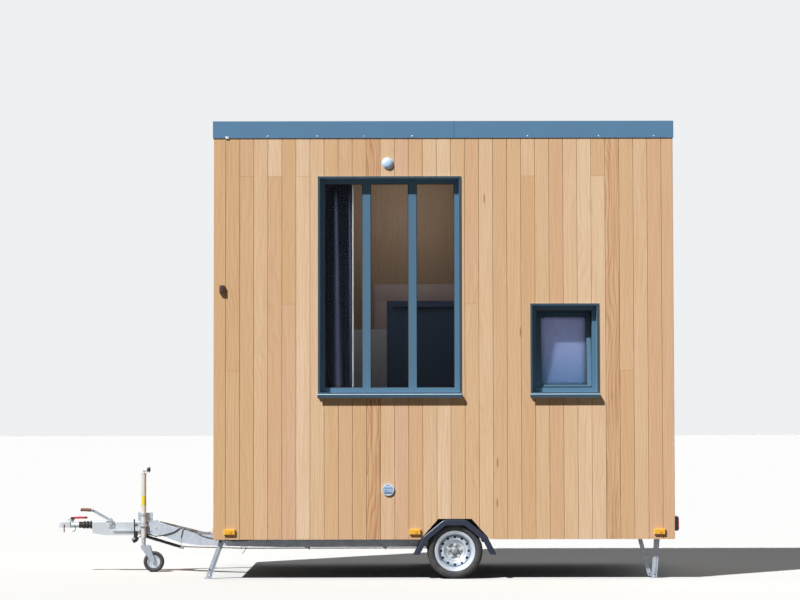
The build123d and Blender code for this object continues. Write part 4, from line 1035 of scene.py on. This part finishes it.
# %% Vents and knob
UPPER_FITTINGS = 3.0
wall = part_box("wall_fittings")[1].y
low, high = next(pair for pair in island_boxes("wall_fittings") if pair[0].z > UPPER_FITTINGS)
centre, size = (low + high) / 2, (high - low) / 2
cowl = ((0, 1), (0.2, 1), (0.3, 0.97), (0.4, 0.86), (0.62, 0.8), (0.8, 0.64), (0.94, 0.4), (1, 0.15), (1, 0))
build("vent_upper", "house", PALE_PLASTIC, "vent_white", (
    turned, (centre.x, wall, centre.z), (0, -1, 0),
    [(depth * 2 * size.y, radius * size.x) for depth, radius in cowl], 40,
), replaces=["wall_fittings"])
for name, material, test in (
    ("vent_lower", PALE_PLASTIC, lambda co: co.z < 1), ("wall_knob", KNOB_BROWN, lambda co: co.x < -1),
):
    finish_piece(name, only("wall_fittings", test), "house", material, ["wall_fittings"])
print("vents and knob on the wall at", round(wall, 3))

# %% [markdown]
# The side markers are amber with a deeper reflector in the middle. The front markers are pale, and
# the rear lamps are black cases with a red, an amber and a clear field. A field could be painted on
# the case, but as a low block of its own it has an edge that shines.

# %% Markers and lamps
FIELD_GAP = 0.012
FIELD_PROUD = 0.005
reflectors = []
for low, high in island_boxes("side_markers"):
    out, face = outer(low, high)
    place = ((low.x + high.x) / 2 + 0.008, face - out * 0.001, (low.z + high.z) / 2)
    outline = [(0, 0.015), (0.0025, 0.0145), (0.0035, 0.011), (0.0035, 0.0)]
    reflectors.append((turned, place, (0, out, 0), outline, 16))
build("marker_reflectors", "house", DEEP_AMBER, "amber_lens", *reflectors)
front = only("end_lamps", lambda co: co.x < 0)
soften(front, [e for e in front.edges if e.is_manifold and e.calc_face_angle(0.0) > SMOOTH_ANGLE], 0.004, 2)
finish_piece("front_markers", front, "house", PALE_LENS, ["end_lamps"])
rear = only("end_lamps", lambda co: co.x > 0)
finish_piece("rear_lamps", rear, "house", BLACK_PLASTIC, ["end_lamps"])
rear_boxes = [pair for pair in island_boxes("end_lamps") if pair[0].x > 0]
for name, first, last, material in (
    ("lamp_red", 0.02, 0.48, RED_LENS), ("lamp_amber", 0.51, 0.76, AMBER),
    ("lamp_clear", 0.79, 0.98, PALE_LENS),
):
    fields = []
    for low, high in rear_boxes:
        ends = (first, last) if low.y < 0 else (1 - last, 1 - first)
        near, far = (low.y + share * (high.y - low.y) for share in ends)
        fields.append((block, (high.x - 0.002, near, low.z + FIELD_GAP),
                       (high.x + FIELD_PROUD, far, high.z - FIELD_GAP), 0.003))
    build(name, "house", material, "lamp_black", *fields)
print("reflectors", len(reflectors), "rear lamps", len(rear_boxes))

# %% [markdown]
# The entrance door in the far wall has a bar at its foot that throws off the rain, and a lock on
# both faces below its handle. Both ride on the door, so they swing with it.

# %% Door lock and weather bar
low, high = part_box("door_leaf")
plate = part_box("door_handle")[0]
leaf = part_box("door_frame")[1].y - 0.010
build("door_weather_bar", "door", DOOR_PAINT, "door_paint", (prism, low.x + 0.03, [
    (leaf - 0.001, low.z + 0.05), (leaf + 0.018, low.z + 0.036), (leaf + 0.018, low.z + 0.030),
    (leaf - 0.001, low.z + 0.030),
], 0.70), smooth=False)
build("door_lock", "door", STEEL, "handle_steel", *[
    (turned, (plate.x + 0.017, face, plate.z + 0.04), (0, out, 0),
     [(-0.001, 0.013), (0.004, 0.013), (0.006, 0.010), (0.006, 0.0)], 16)
    for face, out in ((leaf + 0.008, 1), (low.y - 0.008, -1))
])
print("door leaf", round(high.x - low.x, 3), "m wide")

# %% [markdown]
# A tyre is one turned carcass with blocks of tread laid round it by a loop. A bump could stand for
# the tread, but it leaves the edge of the tyre smooth against the light. The wheel of the frame
# stays, and gets its fittings below.

# %% Tyres
TREAD_BLOCKS = 56
BLOCK_GAP = 0.0035
TREAD_DEPTH = 0.0065
TYRE_STEPS = 96
RIBS = ((-0.072, -0.044), (-0.032, -0.006), (0.006, 0.032), (0.044, 0.072))
BEAD_RADIUS = 0.168
FLANGE_RADIUS = 0.188


def tyre_outline(radius, half):
    """From bead to bead over the tread, as place along the axis and radius."""
    side = [(half - inward, at) for inward, at in (
        (0.022, BEAD_RADIUS), (0.021, FLANGE_RADIUS), (0.012, FLANGE_RADIUS + 0.005),
        (0.005, FLANGE_RADIUS + 0.012), (0.004, FLANGE_RADIUS + 0.014), (0.0015, FLANGE_RADIUS + 0.015),
        (0, radius - 0.038), (0.001, radius - 0.030), (0.004, radius - 0.020), (0.006, radius - 0.018),
        (0.009, radius - 0.011), (0.015, radius - 0.0075), (0.026, radius - TREAD_DEPTH),
    )]
    return side + [(-along, at) for along, at in reversed(side)] + side[:1]


def tread_block(bm, centre, angle, radius, first, last, length):
    """One block of tread: a low box that lies on the carcass."""
    low = Vector((-length / 2, first, radius - TREAD_DEPTH - 0.002))
    high = Vector((length / 2, last, radius - 0.0004 - length * length / (8 * radius)))
    place = Matrix.Translation(centre) @ Matrix.Rotation(angle, 4, "Y") @ Matrix.Translation((low + high) / 2)
    bmesh.ops.create_cube(bm, size=1.0, matrix=place @ Matrix.Diagonal((*(high - low), 1)))


for side in ("left", "right"):
    low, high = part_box("tyre_" + side)
    centre, size = (low + high) / 2, (high - low) / 2
    length = 2 * math.pi * size.x / TREAD_BLOCKS - BLOCK_GAP
    turns = [(2 * math.pi * (i + 0.5 * (row % 2)) / TREAD_BLOCKS, *rib)
             for row, rib in enumerate(RIBS) for i in range(TREAD_BLOCKS)]
    build(
        "tread_" + side, "wheel_" + side, TYRE, "tyre_rubber",
        (turned, centre, (0, 1, 0), tyre_outline(size.x, size.y), TYRE_STEPS),
        *[(tread_block, centre, angle, size.x, first, last, length) for angle, first, last in turns],
        replaces=["tyre_" + side],
    )
    print("tyre", side, len(turns), "blocks")

# %% [markdown]
# The recess in the middle of the wheel is duller than the pressed disc round it, with five zinc
# bolts and a turned cap. A dark flange stands behind the holes of the disc, where the brake is on
# the real wheel. All of it is turned round the axle, and rides on the wheel.

# %% Hubs, bolts and valves
RECESS_RADIUS = 0.071
BOLT_CIRCLE = 0.056
BOLT_COUNT = 5
BOLT_START = math.radians(18)
CAP_RADIUS = 0.034
SHIELD_INNER = 0.100
SHIELD_OUTER = 0.147
VALVE_ANGLE = 0.55


def round_axle(radius, angle):
    """A place round the axle, from its middle."""
    return Vector((radius * math.cos(angle), 0, radius * math.sin(angle)))


for side, out in (("left", -1), ("right", 1)):
    low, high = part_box("tyre_" + side)
    centre, axis, body = (low + high) / 2, Vector((0, out, 0)), "wheel_" + side
    recess = centre + axis * 0.018
    build("hub_plate_" + side, body, HUB_GREY, "wheel_silver", (turned, recess, axis, [
        (-0.001, RECESS_RADIUS), (0.0012, RECESS_RADIUS), (0.0012, CAP_RADIUS + 0.004),
        (0.003, CAP_RADIUS + 0.002), (0.003, CAP_RADIUS), (0.0165, CAP_RADIUS), (0.022, CAP_RADIUS - 0.003),
        (0.0265, CAP_RADIUS - 0.009), (0.0288, 0.012), (0.0292, 0.0),
    ], 40))
    build("drum_flange_" + side, body, RUBBER, "wheel_silver", (turned, centre - axis * 0.022, axis, [
        (0, SHIELD_INNER), (0, SHIELD_OUTER), (0.003, SHIELD_OUTER), (0.003, SHIELD_INNER), (0, SHIELD_INNER),
    ], 40))
    spots = [round_axle(BOLT_CIRCLE, 2 * math.pi * i / BOLT_COUNT + BOLT_START) for i in range(BOLT_COUNT)]
    build("wheel_bolts_" + side, body, BRIGHT, "wheel_silver", *[
        (bolt, recess + spot + axis * 0.001, axis, 0.0125, 0.014) for spot in spots
    ])
    foot = centre + axis * 0.006 + round_axle(0.146, VALVE_ANGLE)
    stem = [(0, 0.006), (0.012, 0.005), (0.014, 0.0035), (0.032, 0.0035), (0.034, 0.0)]
    build("valve_" + side, body, RUBBER, "wheel_silver", (turned, foot, axis, stem, 10))
    print("hub", side, len(spots), "bolts")

# %% [markdown]
# The mudguards are moulded, so the edge between the top and the side is a broad round, along which
# the light runs as a bright line. The frame's own node has the form already, so a copy of it is
# taken and only that edge is rounded.

# %% Mudguards
GUARD_ROUND = 0.0155


def looks_out(face, axle):
    """Whether a face of a mudguard is on its top side."""
    away = face.calc_center_median() - axle
    return abs(face.normal.y) < 0.1 and face.normal.dot(Vector((away.x, 0, away.z))) > 0


for side in ("left", "right"):
    low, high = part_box("mudguard_" + side)
    side_y = outer(low, high)[1]
    axle = Vector(((low.x + high.x) / 2, 0, low.z))
    guard = merged_copy("mudguard_" + side)
    flatten(guard)
    rim_edges = [
        e for e in guard.edges
        if all(abs(v.co.y - side_y) < MERGE for v in e.verts) and max(v.co.z for v in e.verts) > low.z + 0.001
        and any(looks_out(f, axle) for f in e.link_faces)
    ]
    soften(guard, rim_edges, GUARD_ROUND, 5)
    bmesh.ops.recalc_face_normals(guard, faces=guard.faces)
    print("mudguard", side, len(rim_edges), "edges rounded", len(guard.faces), "faces")
    finish_piece("guard_" + side, guard, "house", BLACK_PLASTIC, ["mudguard_" + side])

# %% [markdown]
# A bellows of soft rubber closes the gap between the coupling head and the housing. Its folds are
# one lathe outline. When the drawtube runs in it is squeezed, and its rear end stays at the
# housing, so it rides on the house, with a mesh of its own.

# %% Bellows
GAITER_RIBS = 3
GAITER_CUFF = 0.036
GAITER_BORE = 0.027
RIB_HEIGHT = 0.0085
RIB = ((0.1, 0.25), (0.2, 0.75), (0.32, 0.95), (0.45, 1), (0.58, 0.95), (0.7, 0.75), (0.82, 0.25), (0.92, 0))
low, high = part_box("gaiter")
tube_z = (low.z + high.z) / 2
root = (high.z - low.z) / 2 - RIB_HEIGHT
length = high.x - low.x
pitch = (length - GAITER_CUFF) / GAITER_RIBS
band = root + 0.0015
cuff = [(0, GAITER_BORE), (0, band), (GAITER_CUFF - 0.008, band), (GAITER_CUFF - 0.004, root)]
folds = [(GAITER_CUFF + pitch * (rib + share), root + lift * RIB_HEIGHT)
         for rib in range(GAITER_RIBS) for share, lift in RIB]
bellows = build("bellows", "house", RUBBER, "gaiter_rubber", (
    turned, (low.x, 0, tube_z), (1, 0, 0), cuff + folds + [(length, root), (length, GAITER_BORE)], 36,
), replaces=["gaiter"])
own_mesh(bellows)
print("bellows", round(length, 3), "m long with", GAITER_RIBS, "ribs")

# %% [markdown]
# The coupling head gets the fork and grip of its handle, a pin and a loop of wire. Fork and grip
# lie a hair outside the handle of the frame, which gives them their own colour without cutting it.

# %% Coupling head
low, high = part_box("coupling_handle")
build("coupling_fork", "coupling_lever", KNOB_BLACK, "red_plastic", *[
    (block, (low.x - 0.0008, y, low.z + 0.0005), (low.x + 0.030, y + 0.010, high.z - 0.004), 0.002)
    for y in (-0.0195, 0.0095)
])
build("lever_grip", "coupling_lever", RED_PLASTIC, "red_plastic", (
    block, (low.x + 0.036, -0.0188, 0.510), (high.x + 0.0006, 0.0188, 0.531), 0.006,
))
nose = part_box("drawtube")[0].x
build("coupling_pin", "coupling", GRIP_RED, "cast_grey", (
    turned, (nose + 0.055, -0.036, tube_z - 0.006), (0, 0, -1),
    [(-0.010, 0.0), (-0.010, 0.006), (0.060, 0.006), (0.067, 0.003), (0.067, 0.0)], 12,
))
build("breakaway_wire", "coupling", KNOB_BLACK, "cast_grey", (wire, [
    (nose + along, y, tube_z - down) for along, y, down in (
        (0.152, -0.026, 0.006), (0.164, -0.032, 0.020), (0.166, -0.034, 0.040), (0.156, -0.032, 0.058),
        (0.134, -0.028, 0.064),
    )
], 0.0035))
print("coupling head from", round(nose, 3))

# %% [markdown]
# The handbrake's grip is a ribbed brown-red sleeve. The ribs show in its outline, so they are
# turned and not a bump. The housing is bolted through its flanges, and the beams through their
# sides, which run apart, so a small function gives their place at each length.

# %% Grip and bolts
GRIP_LENGTH = 0.108
GRIP_RIBS = 8
BEAM_NOSE = Vector((-2.0575, 0.048))
BEAM_SPREAD = 0.4223
BEAM_MIDDLE = 0.026
BEAM_SIDE = 0.0521


def beam_y(x, out=BEAM_SIDE):
    """Distance of the beam's outer side, or of its middle, from the trailer's centre line."""
    return BEAM_NOSE.y + (x - BEAM_NOSE.x) * BEAM_SPREAD + out


low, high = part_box("handbrake_lever")
outline = [(0.0, 0.0), (0.0, 0.012), (0.003, 0.0155)]
for i in range(GRIP_RIBS):
    at = 0.012 + i * 0.0115
    outline += [(at, 0.0162), (at + 0.008, 0.0162), (at + 0.009, 0.0152), (at + 0.0105, 0.0152)]
outline += [(GRIP_LENGTH, 0.0158), (GRIP_LENGTH, 0.008)]
build("handbrake_grip", "handbrake", GRIP_RED, "galvanised", (
    turned, (low.x - 0.0004, (low.y + high.y) / 2, high.z - 0.0145), (1, 0, -0.027), outline, 16,
))
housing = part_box("overrun_housing")[0].x
beam_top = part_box("drawbar_beam_left")[1].z
flange_bolts = [(0.235, -1), (0.235, 1), (0.375, -1), (0.375, 1), (0.475, 1)]
beam_bolts = [(-2.035, 1, 0.035)] + [(x, out, drop) for x, drop in ((-2.035, 0.085), (-1.985, 0.060))
                                     for out in (-1, 1)]
build("drawbar_bolts", "house", BRIGHT, "galvanised", *[
    (bolt, (housing + along, out * 0.048, tube_z - 0.048), (0, 0, 1), 0.006, 0.007)
    for along, out in flange_bolts
], *[
    (bolt, (x, out * beam_y(x), beam_top - drop), (-BEAM_SPREAD, out, 0), 0.008, 0.009)
    for x, out, drop in beam_bolts
], smooth=False)
print("bolts", len(flange_bolts), "on the housing,", len(beam_bolts), "on the beams")

# %% [markdown]
# The brake rod enters a black sleeve behind the housing. The jockey wheel's tube has a yellow band
# and a pale collar at its clamp, a black knob on its crank and a dark lever that nips the clamp.
# Each lies just outside the piece of the frame that carries it.

# %% Sleeve, bands, knob and clamp lever
TUBE_RADIUS = 0.024
BAND_LOW = 0.640
BAND_LENGTH = 0.093
BAND_PROUD = 0.0006
COLLAR_HEIGHT = 0.441
COLLAR_LENGTH = 0.011
COLLAR_RADIUS = 0.043
KNOB_RADIUS = 0.0168
front, rear = Vector((-2.0815, 0, 0.334)), Vector((-1.7665, 0, 0.238))
run = rear - front
build("brake_sleeve", "house", KNOB_BLACK, "galvanised", (turned, front, run, [
    (-0.004, 0.0), (-0.004, 0.0145), (run.length - 0.004, 0.0145), (run.length + 0.012, 0.0125),
    (run.length + 0.012, 0.0),
], 20))
build("sleeve_nipple", "house", BRIGHT, "galvanised", (turned, rear, run, [
    (0.010, 0.0), (0.010, 0.0165), (0.032, 0.0165), (0.040, 0.009), (0.040, 0.0),
], 16))
low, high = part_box("jockey_outer_tube")
jockey = (low + high) / 2
band = [(0, -0.001), (0, BAND_PROUD), (BAND_LENGTH, BAND_PROUD), (BAND_LENGTH, -0.001)]
build("tube_band", "house", YELLOW, "galvanised", (
    turned, (jockey.x, jockey.y, BAND_LOW), (0, 0, 1),
    [(along, TUBE_RADIUS + proud) for along, proud in band], 28,
))
build("clamp_collar", "house", TUBE_ZINC, "galvanised", (
    turned, (jockey.x, jockey.y, COLLAR_HEIGHT), (0, 0, 1), [
        (0, TUBE_RADIUS), (0, COLLAR_RADIUS), (COLLAR_LENGTH, COLLAR_RADIUS), (COLLAR_LENGTH, TUBE_RADIUS),
        (0, TUBE_RADIUS),
    ], 28,
))
low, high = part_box("jockey_crank")
place = (high.x - KNOB_RADIUS + 0.0008, low.y + KNOB_RADIUS - 0.0008, low.z + 0.004)
build("crank_knob", "jockey_handle", KNOB_BLACK, "galvanised", (turned, place, (0, 0, 1), [
    (-0.001, 0.0), (-0.001, 0.010), (0.003, KNOB_RADIUS - 0.001), (0.012, KNOB_RADIUS), (0.034, KNOB_RADIUS),
    (0.043, KNOB_RADIUS - 0.003), (0.0472, 0.009), (0.0476, 0.0),
], 20))
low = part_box("jockey_clamp")[0]
build("clamp_lever", "house", KNOB_BLACK, "galvanised", (wire, [
    (low.x + 0.010 + lean, low.y + 0.0045, tube_z + up)
    for lean, up in ((0, 0.060), (0, 0.010), (0.001, -0.040), (0, -0.109))
], 0.0068, 10))
print("jockey tube at", round(jockey.x, 3), round(jockey.y, 3))

# %% [markdown]
# Each leg turns on a pin through its bracket, and only the heads of the pins show. The near front
# leg has a dark pin in its foot and stands against a rubber buffer. A low dome is enough for a head
# of this size.

# %% Leg pins, foot pin and buffer
PIN_HEIGHT = 0.405
brackets = [(low, *outer(low, high), (low.x + high.x) / 2) for low, high in island_boxes("leg_brackets")]
build("leg_pin_heads", "house", BRIGHT, "galvanised", *[
    (dome, (x, face - out * 0.0005, PIN_HEIGHT), (0, out, 0), 0.012, 0.003) for low, out, face, x in brackets
])
foot_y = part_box("leg_front_left")[0].y + 0.004
build("foot_pin", "leg_front_left", KNOB_BLACK, "galvanised", (
    dome, (-1.390, foot_y, 0.084), (0, -1, 0), 0.009, 0.004,
))
near_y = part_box("leg_brackets")[0].y
build("leg_buffer", "house", KNOB_BLACK, "galvanised", (
    block, (-1.301, near_y - 0.004, 0.330), (-1.281, near_y + 0.014, 0.392), 0.003,
))
print("leg pins", len(brackets))

# %% [markdown]
# The lead is tied to the beam where it comes over the top, and a hook below the tie carries the
# sleeve. A small bracket with a black strap hangs under the beam near the house. These are bent
# wires, and their points are given from the side of the beam, so that they lie on it.

# %% Tie, hook, plug boot and strap
TIE_X = -1.711
TIE_TOP = 0.424
TIE_DROP = 0.090
TIE_RADIUS = 0.0045
PLUG_RADIUS = 0.0255
BRACKET_X = -1.114


def beside_beam(back, drop, gap):
    """A place outside the near beam, from the top of the tie."""
    x = TIE_X - back
    return (x, -beam_y(x) - gap, TIE_TOP - drop)


build("lead_tie", "house", KNOB_BLACK, "cable_black", (wire, [
    beside_beam(0, 0.009, -0.045), beside_beam(0, -0.005, -0.022), beside_beam(0.001, 0.004, -0.004),
    beside_beam(0.004, 0.018, TIE_RADIUS), beside_beam(0.015, 0.062, TIE_RADIUS),
    beside_beam(0.022, TIE_DROP, TIE_RADIUS),
], TIE_RADIUS, 8))
build("sleeve_hook", "house", TUBE_ZINC, "galvanised", (wire, [
    beside_beam(0.021, TIE_DROP - 0.005, 0.003), beside_beam(0.023, 0.130, 0.003),
    beside_beam(0.026, 0.152, -0.030), (TIE_X - 0.042, 0.0, TIE_TOP - 0.182),
], 0.0025))
build("plug_boot", "house", KNOB_BLACK, "black_plastic", (
    turned, (-2.166, -0.0585, 0.3265), (-0.046, 0.004, -0.028), [
        (0.0, 0.0), (0.0, 0.012), (0.010, 0.019), (0.018, 0.0235), (0.022, PLUG_RADIUS), (0.056, PLUG_RADIUS),
        (0.060, PLUG_RADIUS - 0.003), (0.060, 0.0),
    ], 24,
))
y = -beam_y(BRACKET_X, BEAM_MIDDLE)
build("strap_bracket", "house", BRIGHT, "galvanised", *[
    (block, (BRACKET_X - 0.028, y - 0.020, bottom), (BRACKET_X + reach, y + 0.020, top), 0.001)
    for reach, bottom, top in ((0.028, 0.262, 0.2665), (-0.022, 0.232, 0.264))
], smooth=False)
build("strap", "house", KNOB_BLACK, "galvanised", (wire, [
    (BRACKET_X + along, y - beside, z) for along, beside, z in (
        (0.020, 0.012, 0.262), (0.014, 0.014, 0.235), (-0.006, 0.014, 0.205), (-0.014, 0.012, 0.198),
    )
], 0.0035))
print("strap at", BRACKET_X)

# %% [markdown]
# The studio floor is a large pale sheet at ground level, marked as stage. Seen directly, or in
# metal and glass, it is pale. For the light that it throws back at the house it is dark, which
# keeps the shade under the sills and in the window reveals deep. One colour for both would either
# flood that shade or spoil the picture.

# %% Studio floor
FLOOR_SEEN = (0.62, 0.62, 0.61)
FLOOR_BOUNCE = (0.12, 0.11, 0.095)
FLOOR_SIZE = 160.0
floor_material, tree = new_material("studio_floor")
bounce, shown = (add(tree, "BsdfDiffuse", {"Color": colour})[0] for colour in (FLOOR_BOUNCE, FLOOR_SEEN))
add(tree, "OutputMaterial", {0: add(tree, "MixShader", {0: seen(tree), 1: bounce, 2: shown})[0]})
bm = bmesh.new()
bmesh.ops.create_grid(bm, x_segments=1, y_segments=1, size=FLOOR_SIZE)
mesh = bpy.data.meshes.new("studio_floor")
bm.to_mesh(mesh)
bm.free()
mesh.materials.append(floor_material)
studio_floor = put("studio_floor", mesh)
print("floor", FLOOR_SIZE, "m to each side")
